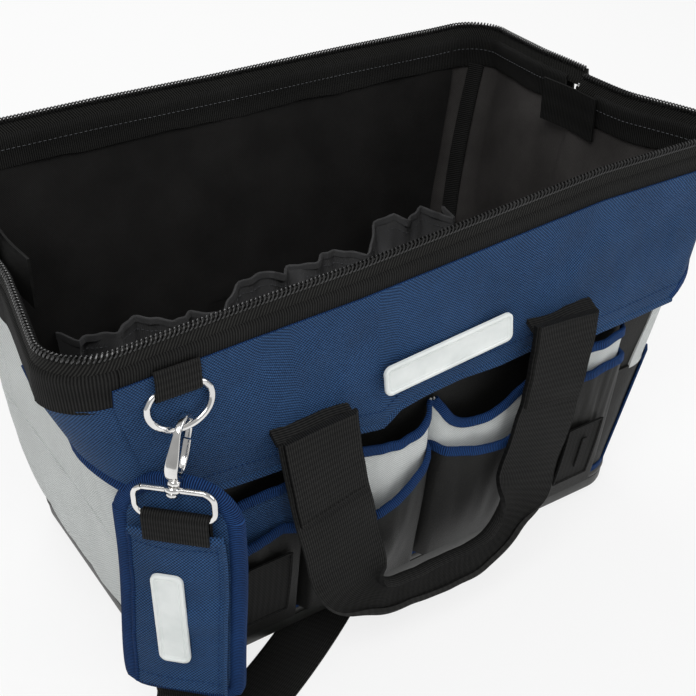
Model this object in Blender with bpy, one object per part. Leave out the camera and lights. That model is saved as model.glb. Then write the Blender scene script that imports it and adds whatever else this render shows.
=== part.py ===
"""Gate-mouth tool bag with a moulded tray, folding steel mouth frames, pockets, handles and a shoulder strap.

Metres, +Z up. The origin is the middle of the underside, +X runs to the right along the mouth and the
front face looks along -Y. The bag stands on five low feet with its mouth wide open.
"""
import math

import bmesh
import bpy
import numpy as np
from mathutils import Vector

# Tray and base board
FOOT_HEIGHT = 0.004
FOOT_RADIUS = 0.015
FOOT_CENTRE_RADIUS = 0.011
FOOT_SPREAD_X = 0.160
FOOT_SPREAD_Y = 0.050
FOOT_SIDES = 24
FOOT_OVERLAP = 0.001
TRAY_LENGTH = 0.370
TRAY_WIDTH = 0.215
TRAY_HEIGHT = 0.014
TRAY_WALL = 0.0055
TRAY_FLOOR = 0.003
TRAY_EDGE_BEVEL = 0.0015
BOARD_THICKNESS = 0.004

# Body of the bag
WALL_THICKNESS = 0.004
WALL_INSET = 0.0025
CORNER_RADIUS = 0.028
CORNER_STEPS = 5
BAR_HEIGHT = 0.266
FOLD_HEIGHT = 0.114
MOUTH_HALF_WIDTH = 0.140
OUTER_ARM_X = 0.233
INNER_ARM_X = 0.2225
ARM_TAPER = 0.010
ARM_STRAIGHT = 0.050
FRAME_CORNER_RADIUS = 0.028
GUSSET_THICKNESS = 0.003
GUSSET_CROSSOVER = 0.020
GUSSET_SAG = 0.007
PANEL_BULGE = 0.0045
PANEL_EDGE_HEIGHT = 0.170
LOW_LEVELS = 4
HIGH_LEVELS = 5

# Steel mouth frames, the tape over them and the zip on top
WIRE_RADIUS = 0.002
EYE_LENGTH = 0.012
EYE_HALF_HEIGHT = 0.0036
EYE_HALF_THICKNESS = 0.0012
EYE_HOLE_RADIUS = 0.0020
ARM_END = 0.006
RIVET_X = 0.2173
EYE_SPREAD = 0.0022
RIVET_SHANK_RADIUS = 0.0016
RIVET_HEAD_RADIUS = 0.0034
RIVET_HEAD_THICKNESS = 0.0014
RIVET_EDGE_SHARE = 0.7
EYE_FLAT_SHARES = ((0.6, 0.45), (1.0, 1.0), (1.0, 1.0), (1.0, 0.2))
EYE_REACH_SHARES = (0.35, 0.6, 0.9)
TAPE_THICKNESS = 0.0014
TAPE_DEPTH = 0.0165
TAPE_END = 0.0185
ARCH_STEPS = 6
ZIP_TAPE_HALF = 0.0006
ZIP_COIL_HALF = 0.0019
ZIP_COIL_HEIGHT = 0.0035
ZIP_HEIGHT = 0.013
ZIP_END = 0.003
SLIDER_LENGTH = 0.013
SLIDER_WALL = 0.0012
SLIDER_AT = -0.016
PULL_LENGTH = 0.026
PULL_HALF_WIDTH = 0.0045
PULL_THICKNESS = 0.0016
PULL_OUTLINE_SHARES = ((0.0, 0.6), (0.06, 0.9), (0.2, 1.0), (0.8, 1.0), (0.94, 0.85), (1.0, 0.5))

# Outer pockets
POCKET_EDGES = (-0.150, -0.096, -0.005, 0.091, 0.150)
BACK_POCKET_TOPS = (0.126, 0.132, 0.1365, 0.1365)
FRONT_POCKET_TOPS = (0.112, 0.104, 0.120, 0.131)
POCKET_BOTTOM = 0.026
POCKET_GAP = 0.0010
POCKET_WALL = 0.0012
POCKET_FLOOR_SHARE = 0.12
BACK_POCKET_DEPTHS = (0.0040, 0.0085)
FRONT_POCKET_DEPTHS = (0.0045, 0.0095)
PATCH_WIDTH = 0.027
PATCH_HEIGHT = 0.050
PATCH_THICKNESS = 0.0014
PATCH_CENTRE_HEIGHT = 0.067
INNER_POCKET_EDGES = (-0.150, 0.002, 0.152)
INNER_POCKET_TOP = 0.110
INNER_POCKET_BOTTOM = 0.034
INNER_POCKET_DEPTHS = (0.006, 0.013)

# Label on the front
LABEL_LENGTH = 0.104
LABEL_HEIGHT = 0.023
LABEL_THICKNESS = 0.0022
LABEL_RADIUS = 0.005
LABEL_CENTRE_X = 0.003
LABEL_CENTRE_Z = 0.193
LABEL_RIM = 0.0022
LABEL_SINK = 0.0007

# Handles
HANDLE_WEB_WIDTH = 0.050
HANDLE_GRIP_WIDTH = 0.027
HANDLE_WEB_THICKNESS = 0.0022
HANDLE_GRIP_THICKNESS = 0.007
HANDLE_STANDOFF = 0.0075
HANDLE_PLANE = MOUTH_HALF_WIDTH + HANDLE_STANDOFF
HANDLE_TOP = 0.184
HANDLE_BOTTOM = 0.044
HANDLE_LEFT_X = -0.098
HANDLE_RIGHT_X = 0.080
HANDLE_BOTTOM_LEFT_X = -0.080
HANDLE_BOTTOM_RIGHT_X = 0.056
ANCHOR_THICKNESS = 0.0030
HANDLE_SIDE_HEIGHT = 0.140
HANDLE_LEFT_DRIFT = 0.006
HANDLE_LEFT_TURN_HEIGHT = 0.078
HANDLE_LEFT_FOOT_SHIFT = 0.026
HANDLE_LEFT_FOOT_HEIGHT = 0.049
HANDLE_MIDDLE_SHIFT = 0.068
HANDLE_RIGHT_FOOT_SHIFT = 0.030
HANDLE_RIGHT_FOOT_HEIGHT = 0.052
HANDLE_RIGHT_TURN_HEIGHT = 0.084
HANDLE_RIGHT_DRIFT = 0.008
GRIP_START_SHARE = 0.22
GRIP_EASE_SHARE = 0.13

# D-rings, snap hooks and swivel loops
RING_X = -0.1755
RING_STANDOFF = 0.0032
RING_Y = -(MOUTH_HALF_WIDTH + RING_STANDOFF)
RING_BAR_DROP = 0.0255
RING_BAR_HEIGHT = BAR_HEIGHT - RING_BAR_DROP
RING_WIRE_RADIUS = 0.0019
RING_HALF_WIDTH = 0.0175
RING_DROP = 0.0215
RING_TILT = math.radians(10.0)
RING_BAR_SHARES = (0.75, 0.25, -0.25, -0.75)
RING_BOW_START = 22
RING_BOW_SWEEP = 224
RING_BOW_STEPS = 14
RING_BOW_WIDTH_SHARE = 1.02
RING_BOW_MIDDLE_SHARE = 0.36
RING_BOW_DEPTH_SHARE = 0.64
RING_SHOULDER_SHARE = 0.9
TAB_HALF_WIDTH = 0.0125
TAB_THICKNESS = 0.0012
TAB_RISE = 0.0070
TAB_TOP = RING_BAR_HEIGHT + TAB_RISE
HOOK_YAW = math.radians(45.0)
LOOP_TOP_ACROSS = -0.0233
LOOP_LEAD = 0.1035
LOOP_TOP_OUT = MOUTH_HALF_WIDTH + LOOP_LEAD
LOOP_TOP_DROP = 0.0495
LOOP_TOP_HEIGHT = RING_BAR_HEIGHT - LOOP_TOP_DROP
HOOK_HALF_WIDTH = 0.0033
HOOK_STOCK = 0.0028
HOOK_INNER_RADIUS = 0.0080
HOOK_CROWN_SHARE = 0.55
HOOK_CROWN_DROP = 0.0034
HOOK_TIP_LENGTH = 0.0030
HOOK_FRONT_LENGTH = 0.005
HOOK_KNEE_SHARES = (0.92, 1.6)
HOOK_HEEL_SHARES = (0.5, 0.5)
HOOK_FOOT_SHARE = 0.45
HOOK_EDGE_SHARES = (0.6, 0.7)
GATE_TIP_GAP = 0.0009
GATE_KNEE_HEIGHT = 0.002
GATE_KNEE_SHARE = 0.75
GATE_WIDTH_SHARE = 0.62
GATE_THICKNESS_SHARE = 0.32
HOOK_BASE_HEIGHT = 0.0045
COLLAR_RADIUS = 0.0036
COLLAR_HEIGHT = 0.0025
PIN_RADIUS = 0.0018
PIN_HEAD_RADIUS = 0.0030
PIN_HEAD_THICKNESS = 0.0012
PIN_DOME_HEIGHT = 0.0010
COLLAR_CHAMFER = 0.0008
COLLAR_TOP_SHARE = 0.7
LOOP_HALF_WIDTH = 0.0215
LOOP_HEIGHT = 0.0185
LOOP_TOP_RADIUS = 0.0070
LOOP_LOW_RADIUS = 0.0030
LOOP_WEB_WIDTH = 0.035
LOOP_WEB_DROP = 0.014
LOOP_WIRE_RADIUS = 0.0016
LOOP_EYE_RADIUS = 0.0044
LOOP_BAR_SHARE = 0.4
LOOP_BOSS_SHARE = 0.98

# Shoulder strap
WEB_WIDTH = 0.038
WEB_THICKNESS = 0.0016
PAD_WIDTH = 0.070
PAD_THICKNESS = 0.008
PAD_CREST_RISE = 0.001
PAD_TOP = LOOP_TOP_HEIGHT + PAD_CREST_RISE
PAD_BOTTOM = 0.036
PAD_ACROSS = -0.0245
PAD_SETBACK = 0.0079
PAD_OUT = LOOP_TOP_OUT - PAD_SETBACK
PAD_ARCH_SHARE = 0.62
PAD_FOOT_SHARE = 0.18
PAD_EDGE_INSET_SHARE = 0.10
PAD_EDGE_DEPTH_SHARE = 0.2
PAD_LABEL_WIDTH = 0.022
PAD_LABEL_HEIGHT = 0.056
PAD_LABEL_CENTRE_HEIGHT = 0.100
STRAP_SKIM = 0.0006
STRAP_RETURN = (-0.1465, -0.1470)
STRAP_RETURN_HEADING = math.radians(26.0)
STRAP_EXIT_HEADING = math.radians(53.0)
STRAP_STEPS = 26
SLACK_REACH = 0.098
SLACK_FALL = 0.008
SLACK_BENDS = ((0.012, 0.021), (0.040, 0.0165))
SLACK_TURNS = ((0.004, 0.012), (0.0065, 0.006))
SLACK_LANDINGS = (0.010, 0.035)
SLACK_TWIST_SHARES = (0.35, 0.35)
FLOOR_START = 0.038
FLOOR_END = 0.020
RISE_START = 0.020
RISE_BENDS = ((0.030, 0.009), (0.040, 0.030), (0.030, 0.070), (0.012, 0.115))
RISE_TOP_OUT = 0.0027
ADJUSTER_HALF_WIDTH = 0.0235
ADJUSTER_HALF_HEIGHT = 0.014
ADJUSTER_THICKNESS = 0.0028
ADJUSTER_BORDER = 0.0035
ADJUSTER_HEIGHT = 0.096

CLEARANCE = 0.0003
MERGE_DISTANCE = 0.00001
SHARP_ANGLE = math.radians(35.0)

# Values that follow from those above
TRAY_TOP = FOOT_HEIGHT + TRAY_HEIGHT
BASE_HALF_WIDTH = TRAY_WIDTH / 2 - WALL_INSET
BASE_HALF_LENGTH = TRAY_LENGTH / 2 - WALL_INSET
BODY_HEIGHT = BAR_HEIGHT - TRAY_TOP
SIDE_LEAN = (MOUTH_HALF_WIDTH - BASE_HALF_WIDTH) / BODY_HEIGHT
MOUTH_HALF_LENGTH = (OUTER_ARM_X + INNER_ARM_X - ARM_TAPER) / 2
END_LEAN = (MOUTH_HALF_LENGTH - BASE_HALF_LENGTH) / BODY_HEIGHT
LEAN_ANGLE = math.atan(SIDE_LEAN)
TAPE_INNER = WALL_THICKNESS / 2 + CLEARANCE
TAPE_OUTER = TAPE_INNER + TAPE_THICKNESS
FOLD_Y = BASE_HALF_WIDTH + SIDE_LEAN * (FOLD_HEIGHT - TRAY_TOP)
FOLD_TO_BAR = math.hypot(MOUTH_HALF_WIDTH - FOLD_Y, BAR_HEIGHT - FOLD_HEIGHT)
LOWER_TOP = FOLD_HEIGHT - WALL_THICKNESS / 2 - CLEARANCE
GUSSET_BOTTOM = LOWER_TOP + CLEARANCE
ARM_REACH = MOUTH_HALF_WIDTH - FRAME_CORNER_RADIUS
GUSSET_TOP = BAR_HEIGHT - TAPE_DEPTH - CLEARANCE - TAPE_DEPTH * (1 - math.cos(LEAN_ANGLE))

FRONT = -1
REAR = 1


def side_y(z):
    """Distance of a long wall's mid-plane from the middle at height z."""
    return BASE_HALF_WIDTH + SIDE_LEAN * (z - TRAY_TOP)


def end_x(z):
    """Distance of an end wall's mid-plane from the middle at height z."""
    return BASE_HALF_LENGTH + END_LEAN * (z - TRAY_TOP)


def wall_point(side, x, along, out):
    """Point on a long wall: along is measured up the wall from the fold, out is away from the bag."""
    y = FOLD_Y + along * math.sin(LEAN_ANGLE) + out * math.cos(LEAN_ANGLE)
    z = FOLD_HEIGHT + along * math.cos(LEAN_ANGLE) - out * math.sin(LEAN_ANGLE)
    return Vector((x, side * y, z))


def wall_along(z):
    """Distance up the wall from the fold to height z on the mid-plane."""
    return (z - FOLD_HEIGHT) / math.cos(LEAN_ANGLE)


def smooth_step(t):
    """Smooth rise from 0 to 1."""
    t = min(max(t, 0.0), 1.0)
    return t * t * (3 - 2 * t)


def finish(name, colour, roughness, metallic=0.0):
    """A Principled material; colour is linear RGB."""
    material = bpy.data.materials.new(name)
    material.use_nodes = True
    shader = material.node_tree.nodes["Principled BSDF"]
    shader.inputs["Base Color"].default_value = (*colour, 1.0)
    shader.inputs["Roughness"].default_value = roughness
    shader.inputs["Metallic"].default_value = metallic
    return material


def make_finishes():
    """Every colour on the bag."""
    return {
        "tray": finish("tray_plastic", (0.016, 0.016, 0.015), 0.55),
        "board": finish("base_board", (0.02, 0.02, 0.02), 0.8),
        "black": finish("black_fabric", (0.013, 0.013, 0.013), 0.75),
        "grey": finish("grey_fabric", (0.33, 0.34, 0.32), 0.85),
        "blue": finish("blue_fabric", (0.012, 0.050, 0.155), 0.8),
        "navy": finish("navy_binding", (0.006, 0.018, 0.085), 0.8),
        "web": finish("black_webbing", (0.010, 0.010, 0.010), 0.85),
        "lining": finish("inner_pocket_fabric", (0.065, 0.065, 0.068), 0.85),
        "steel": finish("spring_steel", (0.35, 0.35, 0.35), 0.4, 1.0),
        "chrome": finish("chrome_wire", (0.80, 0.80, 0.80), 0.12, 1.0),
        "zip": finish("zip_coil", (0.02, 0.02, 0.02), 0.45),
        "label": finish("white_label", (0.80, 0.80, 0.80), 0.5),
    }


def pivot(name, place, parent=None):
    """Empty on a joint's axis."""
    empty = bpy.data.objects.new(name, None)
    empty.empty_display_size = WEB_WIDTH
    bpy.context.scene.collection.objects.link(empty)
    attach(empty, place, parent)
    return empty


def world_place(obj):
    """Place of an unturned object in the whole bag's frame."""
    place = Vector(obj.location)
    while obj.parent:
        obj = obj.parent
        place += obj.location
    return place


def attach(obj, place, parent):
    """Puts an object at a place of the whole bag's frame under a parent."""
    obj.parent = parent
    obj.location = Vector(place) - (world_place(parent) if parent else Vector())


def add_piece(name, mesh_data, material, parent=None, origin=None, smooth=True):
    """Makes an object from a bmesh whose points are in the whole bag's frame."""
    origin = Vector(origin) if origin is not None else (world_place(parent) if parent else Vector())
    bmesh.ops.recalc_face_normals(mesh_data, faces=mesh_data.faces)
    bmesh.ops.translate(mesh_data, verts=mesh_data.verts, vec=-origin)
    mesh = bpy.data.meshes.new(name)
    mesh_data.to_mesh(mesh)
    mesh_data.free()
    if smooth:
        mesh.shade_smooth()
        mesh.set_sharp_from_angle(angle=SHARP_ANGLE)
    mesh.materials.append(material)
    obj = bpy.data.objects.new(name, mesh)
    bpy.context.scene.collection.objects.link(obj)
    attach(obj, origin, parent)
    return obj


def loft(rings, closed=False):
    """Solid through matching rings of points, capped at both ends unless it closes on itself."""
    bm = bmesh.new()
    rows = [[bm.verts.new(Vector(point)) for point in ring] for ring in rings]
    count = len(rows[0])
    spans = len(rows) if closed else len(rows) - 1
    for i in range(spans):
        here, ahead = rows[i], rows[(i + 1) % len(rows)]
        for j in range(count):
            k = (j + 1) % count
            bm.faces.new((here[j], here[k], ahead[k], ahead[j]))
    if not closed:
        bm.faces.new(rows[0])
        bm.faces.new(reversed(rows[-1]))
    return bm


def sweep(places, acrosses, ups, section, closed=False):
    """Loft of one flat section carried along a path; the section's points are (across, up)."""
    rings = []
    for place, across, up in zip(places, acrosses, ups):
        rings.append([Vector(place) + Vector(across) * a + Vector(up) * u for a, u in section])
    return loft(rings, closed)


def box_section(half_across, half_up):
    """Rectangle around the path."""
    return [(-half_across, -half_up), (half_across, -half_up),
            (half_across, half_up), (-half_across, half_up)]


def round_section(radius, sides):
    """Regular polygon around the path."""
    turn = 2 * math.pi / sides
    return [(radius * math.cos(turn * i), radius * math.sin(turn * i)) for i in range(sides)]


def arc(centre, radius, start, end, steps):
    """Points along an arc in a plane, angles in degrees."""
    points = []
    for i in range(steps + 1):
        angle = math.radians(start + (end - start) * i / steps)
        points.append((centre[0] + radius * math.cos(angle), centre[1] + radius * math.sin(angle)))
    return points


def rounded_outline(half_x, half_y, radius, steps):
    """Rounded rectangle, counter-clockwise."""
    corners = ((1, 1, 0), (-1, 1, 90), (-1, -1, 180), (1, -1, 270))
    points = []
    for sx, sy, start in corners:
        centre = (sx * (half_x - radius), sy * (half_y - radius))
        points += arc(centre, radius, start, start + 90, steps)
    return points


def catmull(points, steps):
    """Smooth curve through points, with evenly many steps in each span."""
    points = [Vector(p) for p in points]
    padded = [2 * points[0] - points[1]] + points + [2 * points[-1] - points[-2]]
    curve = []
    for i in range(1, len(padded) - 2):
        a, b, c, d = padded[i - 1:i + 3]
        for j in range(steps):
            t = j / steps
            curve.append(0.5 * (2 * b + (c - a) * t + (2 * a - 5 * b + 4 * c - d) * t * t
                                + (3 * b - a - 3 * c + d) * t * t * t))
    curve.append(points[-1])
    return curve


def tangents(places):
    """Unit direction along a path at each of its points."""
    last = len(places) - 1
    return [(Vector(places[min(i + 1, last)]) - Vector(places[max(i - 1, 0)])).normalized()
            for i in range(last + 1)]


def ribbon(places, acrosses, width, thickness):
    """Flat webbing along a path; across gives the width's direction at each point."""
    rings = []
    for place, along, across in zip(places, tangents(places), acrosses):
        across = Vector(across)
        across = (across - along * across.dot(along)).normalized()
        up = along.cross(across)
        rings.append([Vector(place) + across * a + up * u for a, u in box_section(width / 2, thickness / 2)])
    return loft(rings)


# Tray, feet and board

def build_tray(finishes):
    """Moulded tray: an open shell with a floor, standing on five round feet."""
    outline = rounded_outline(TRAY_LENGTH / 2, TRAY_WIDTH / 2, CORNER_RADIUS, CORNER_STEPS + 1)
    bm = bmesh.new()
    base = bm.faces.new([bm.verts.new((x, y, FOOT_HEIGHT)) for x, y in outline])
    bottom_edges = list(base.edges)
    grown = bmesh.ops.extrude_face_region(bm, geom=[base])
    risen = [item for item in grown["geom"] if isinstance(item, bmesh.types.BMVert)]
    bmesh.ops.translate(bm, verts=risen, vec=(0, 0, TRAY_HEIGHT))
    top = next(item for item in grown["geom"] if isinstance(item, bmesh.types.BMFace))
    bmesh.ops.inset_region(bm, faces=[top], thickness=TRAY_WALL, use_even_offset=True)
    sunk = bmesh.ops.extrude_face_region(bm, geom=[top])
    floor = [item for item in sunk["geom"] if isinstance(item, bmesh.types.BMVert)]
    bmesh.ops.translate(bm, verts=floor, vec=(0, 0, TRAY_FLOOR - TRAY_HEIGHT))
    bmesh.ops.delete(bm, geom=[top], context="FACES_ONLY")
    bmesh.ops.holes_fill(bm, edges=[edge for edge in bm.edges if edge.is_boundary], sides=0)
    bmesh.ops.bevel(bm, geom=[edge for edge in bottom_edges if edge.is_valid], offset=TRAY_EDGE_BEVEL,
                    segments=2, affect="EDGES", profile=0.5)
    tray = add_piece("base_tray", bm, finishes["tray"])
    places = [(sx * FOOT_SPREAD_X, sy * FOOT_SPREAD_Y) for sx in (-1, 1) for sy in (-1, 1)] + [(0, 0)]
    for number, (x, y) in enumerate(places):
        foot = bmesh.new()
        radius = FOOT_RADIUS if x else FOOT_CENTRE_RADIUS
        bmesh.ops.create_cone(foot, cap_ends=True, segments=FOOT_SIDES, radius1=radius, radius2=radius,
                              depth=FOOT_HEIGHT + FOOT_OVERLAP)
        bmesh.ops.translate(foot, verts=foot.verts, vec=(x, y, (FOOT_HEIGHT + FOOT_OVERLAP) / 2))
        cutter = add_piece(f"foot_shape_{number}", foot, finishes["tray"])
        cutter.hide_render = True
        cutter.display_type = "WIRE"
        union = tray.modifiers.new(f"foot_{number}", "BOOLEAN")
        union.operation = "UNION"
        union.object = cutter
    return tray


def build_board(finishes):
    """Stiff board lying in the tray."""
    inset = TRAY_WALL + CLEARANCE
    outline = rounded_outline(TRAY_LENGTH / 2 - inset, TRAY_WIDTH / 2 - inset, CORNER_RADIUS - inset,
                              CORNER_STEPS + 1)
    bottom = FOOT_HEIGHT + TRAY_FLOOR + CLEARANCE
    rings = [[(x, y, z) for x, y in outline] for z in (bottom, bottom + BOARD_THICKNESS)]
    return add_piece("base_board", loft(rings), finishes["board"], smooth=False)


# Body of the bag

def ring_stations(z, half_x, half_y, radius, first, last):
    """Points and outward directions along the body's rounded outline between two corner diagonals."""
    seam = math.degrees(CLEARANCE / radius)
    centres = {0: (1, -1), 1: (1, 1), 2: (-1, 1), 3: (-1, -1)}
    stations = []
    for corner, start, end in ((first, 45 + seam, 90), (last, 0, 45 - seam)):
        sx, sy = centres[corner % 4]
        centre = (sx * (half_x - radius), sy * (half_y - radius))
        base = (-90 + 90 * (corner % 4))
        for i in range(CORNER_STEPS + 1):
            angle = math.radians(base + start + (end - start) * i / CORNER_STEPS)
            out = Vector((math.cos(angle), math.sin(angle), 0))
            stations.append((Vector((centre[0], centre[1], z)) + out * radius, out))
    return stations


def build_lower_walls(finishes):
    """Four panels of the stiff lower box, seamed on the corner diagonals."""
    low = TRAY_TOP + CLEARANCE
    levels = [low + (LOWER_TOP - low) * i / LOW_LEVELS for i in range(LOW_LEVELS + 1)]
    panels = (("lower_wall_front", 3, 0, "black"), ("lower_end_right", 0, 1, "grey"),
              ("lower_wall_rear", 1, 2, "black"), ("lower_end_left", 2, 3, "grey"))
    for name, first, last, colour in panels:
        grid = [ring_stations(z, end_x(z), side_y(z), CORNER_RADIUS, first, last) for z in levels]
        rings = []
        for j in range(len(grid[0])):
            outer = [row[j][0] + row[j][1] * (WALL_THICKNESS / 2) for row in grid]
            inner = [row[j][0] - row[j][1] * (WALL_THICKNESS / 2) for row in grid]
            rings.append(outer + inner[::-1])
        add_piece(name, loft(rings), finishes[colour])


def arm_x(side, sign):
    """Distance of one arm's corner from the middle; the two half frames are alike, turned half round."""
    return OUTER_ARM_X if side * sign > 0 else INNER_ARM_X


def arm_x_at(side, sign, y):
    """Distance of an arm from the middle at a distance y from the rivets."""
    share = (abs(y) - ARM_STRAIGHT) / (ARM_REACH - ARM_STRAIGHT)
    return arm_x(side, sign) - ARM_TAPER * (1 - min(max(share, 0.0), 1.0))


def eye_x(side, sign):
    """Distance of an arm's pierced eye from the middle; both eyes bend in towards the rivet."""
    return RIVET_X + EYE_SPREAD * (1 if side * sign > 0 else -1)


def wall_end(side, sign, along):
    """Half length of a long wall towards one end, at a distance up from the fold."""
    low = end_x(FOLD_HEIGHT) - CORNER_RADIUS
    high = arm_x(side, sign) - FRAME_CORNER_RADIUS
    return low + (high - low) * min(max(along / wall_along(GUSSET_TOP), 0.0), 1.0) - CLEARANCE


def bulge(along):
    """Extra thickness of the padded outer panel, which overhangs the pockets at its lower edge."""
    edge = wall_along(PANEL_EDGE_HEIGHT)
    top = FOLD_TO_BAR - TAPE_DEPTH
    if along < edge or along > top:
        return 0.0
    return PANEL_BULGE * (1 - smooth_step((along - edge) / (top - edge)))


def build_upper_wall(side, name, finishes, parent):
    """Long wall above the fold, with a round lower edge on the fold's axis and a bulging outer panel."""
    half = WALL_THICKNESS / 2
    top = FOLD_TO_BAR - WIRE_RADIUS - 2 * CLEARANCE
    edge = wall_along(PANEL_EDGE_HEIGHT)
    round_edge = [(-u, o) for u, o in arc((0, 0), half, -90, 90, ARCH_STEPS)]
    section = list(round_edge)
    ledge = edge - CLEARANCE
    spots = [edge + (FOLD_TO_BAR - TAPE_DEPTH - edge) * i / HIGH_LEVELS for i in range(HIGH_LEVELS + 1)]
    section += [(ledge, half)] + [(a, half + bulge(a)) for a in spots] + [(top, half), (top, -half)]
    shares = (0.0, 0.25, 0.5, 0.75, 1.0)
    rings = [[wall_point(side, -wall_end(side, -1, a) * (1 - share) + wall_end(side, 1, a) * share, a, o)
              for a, o in section] for share in shares]
    return add_piece(name, loft(rings), finishes["blue"], parent)


def gusset_path(side_x, top):
    """Plan of an end wall above the fold, from the front wall's edge round to the rear wall's edge."""
    spots = []
    for side in (FRONT, REAR):
        reach = arm_x(side, side_x) if top else end_x(GUSSET_BOTTOM)
        middle = arm_x_at(side, side_x, GUSSET_CROSSOVER) if top else reach
        width = side_y(GUSSET_TOP) if top else side_y(GUSSET_BOTTOM)
        radius = FRAME_CORNER_RADIUS if top else CORNER_RADIUS
        part = []
        for i in range(CORNER_STEPS + 1):
            angle = math.radians(-90 + 90 * i / CORNER_STEPS)
            part.append((reach - radius + radius * math.cos(angle),
                         -width + radius + radius * math.sin(angle)))
        part.append((middle, -GUSSET_CROSSOVER))
        if side == REAR:
            part = [(x, -y) for x, y in part[::-1]]
        spots += part
    return [(side_x * x, y) for x, y in spots]


def build_gusset(side_x, name, finishes):
    """Soft end wall between the stiff lower box and the mouth frames."""
    low, high = gusset_path(side_x, False), gusset_path(side_x, True)
    rings = []
    last = len(low) - 1
    for j in range(last + 1):
        before, after = max(j - 1, 0), min(j + 1, last)
        ring_out, ring_in = [], []
        for i in range(HIGH_LEVELS + 1):
            t = i / HIGH_LEVELS
            z = GUSSET_BOTTOM + (GUSSET_TOP - GUSSET_BOTTOM) * t

            def spot(k):
                return Vector((low[k][0] * (1 - t) + high[k][0] * t, low[k][1] * (1 - t) + high[k][1] * t, z))
            along = (spot(after) - spot(before)).normalized()
            out = Vector((along.y, -along.x, 0)) * side_x
            shift = Vector((CLEARANCE * side_x, 0, 0)) if j in (0, last) else Vector()
            shift -= out * GUSSET_SAG * math.sin(math.pi * t) * math.sin(math.pi * j / last)
            ring_out.append(spot(j) + out * (GUSSET_THICKNESS / 2) + shift)
            ring_in.append(spot(j) - out * (GUSSET_THICKNESS / 2) + shift)
        rings.append(ring_out + ring_in[::-1])
    return add_piece(name, loft(rings), finishes["grey"])


# Mouth frames, tape and zip

def frame_path(side, end):
    """Places and outward directions along a half frame, from its left arm's end round to its right arm's."""
    radius = FRAME_CORNER_RADIUS
    places, outs = [], []

    def add(x, y, out_x, out_y):
        places.append(Vector((x, side * y, BAR_HEIGHT)))
        outs.append(Vector((out_x, side * out_y, 0)))
    for sign in (-1, 1):
        reach = arm_x(side, sign)
        half = [(sign * arm_x_at(side, sign, y), y, sign, 0) for y in (end, ARM_STRAIGHT)]
        for i in range(CORNER_STEPS + 1):
            angle = math.radians(90 * i / CORNER_STEPS)
            half.append((sign * (reach - radius + radius * math.cos(angle)),
                         MOUTH_HALF_WIDTH - radius + radius * math.sin(angle),
                         sign * math.cos(angle), math.sin(angle)))
        for item in (half if sign < 0 else half[::-1]):
            add(*item)
    return places, outs


def build_frame(side, name, finishes, parent):
    """Bent steel wire with flattened, pierced ends where the two halves are riveted."""
    places, outs = frame_path(side, ARM_END + EYE_LENGTH)
    section = round_section(WIRE_RADIUS, 8)
    up = Vector((0, 0, 1))
    rings = [[p + o * a + up * u for a, u in section] for p, o in zip(places, outs)]
    for index, place, out in ((0, places[0], outs[0]), (-1, places[-1], outs[-1])):
        ends = []
        sign = -1 if index == 0 else 1
        start, bent, tip = EYE_REACH_SHARES
        reaches = (EYE_LENGTH * start, EYE_LENGTH * bent, EYE_LENGTH + ARM_END,
                   EYE_LENGTH + ARM_END + EYE_HALF_HEIGHT * tip)
        for (flat, share), reach in zip(EYE_FLAT_SHARES, reaches):
            bend = smooth_step(reach / (EYE_LENGTH * bent))
            x = arm_x_at(side, sign, 0) * (1 - bend) + eye_x(side, sign) * bend
            shift = Vector((sign * x - place.x, -side * reach, 0))
            wide = WIRE_RADIUS + (EYE_HALF_HEIGHT - WIRE_RADIUS) * share
            thick = WIRE_RADIUS + (EYE_HALF_THICKNESS - WIRE_RADIUS) * flat
            ends.append([place + shift + out * (a * thick / WIRE_RADIUS) + up * (u * wide / WIRE_RADIUS)
                         for a, u in section])
        rings = ends[::-1] + rings if index == 0 else rings + ends
    frame = add_piece(name, loft(rings), finishes["steel"], parent)
    for sign in (-1, 1):
        drill = bmesh.new()
        bmesh.ops.create_cone(drill, cap_ends=True, segments=16, radius1=EYE_HOLE_RADIUS,
                              radius2=EYE_HOLE_RADIUS, depth=EYE_LENGTH)
        bmesh.ops.rotate(drill, verts=drill.verts, cent=(0, 0, 0),
                         matrix=Vector((0, 0, 1)).rotation_difference(Vector((1, 0, 0))).to_matrix())
        bmesh.ops.translate(drill, verts=drill.verts, vec=(sign * eye_x(side, sign), 0, BAR_HEIGHT))
        cutter = add_piece(f"{name}_drill_{'left' if sign < 0 else 'right'}", drill, finishes["steel"],
                           parent)
        cutter.hide_render = True
        cutter.display_type = "WIRE"
        cut = frame.modifiers.new(f"eye_{sign}", "BOOLEAN")
        cut.operation = "DIFFERENCE"
        cut.object = cutter
    return frame


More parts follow.
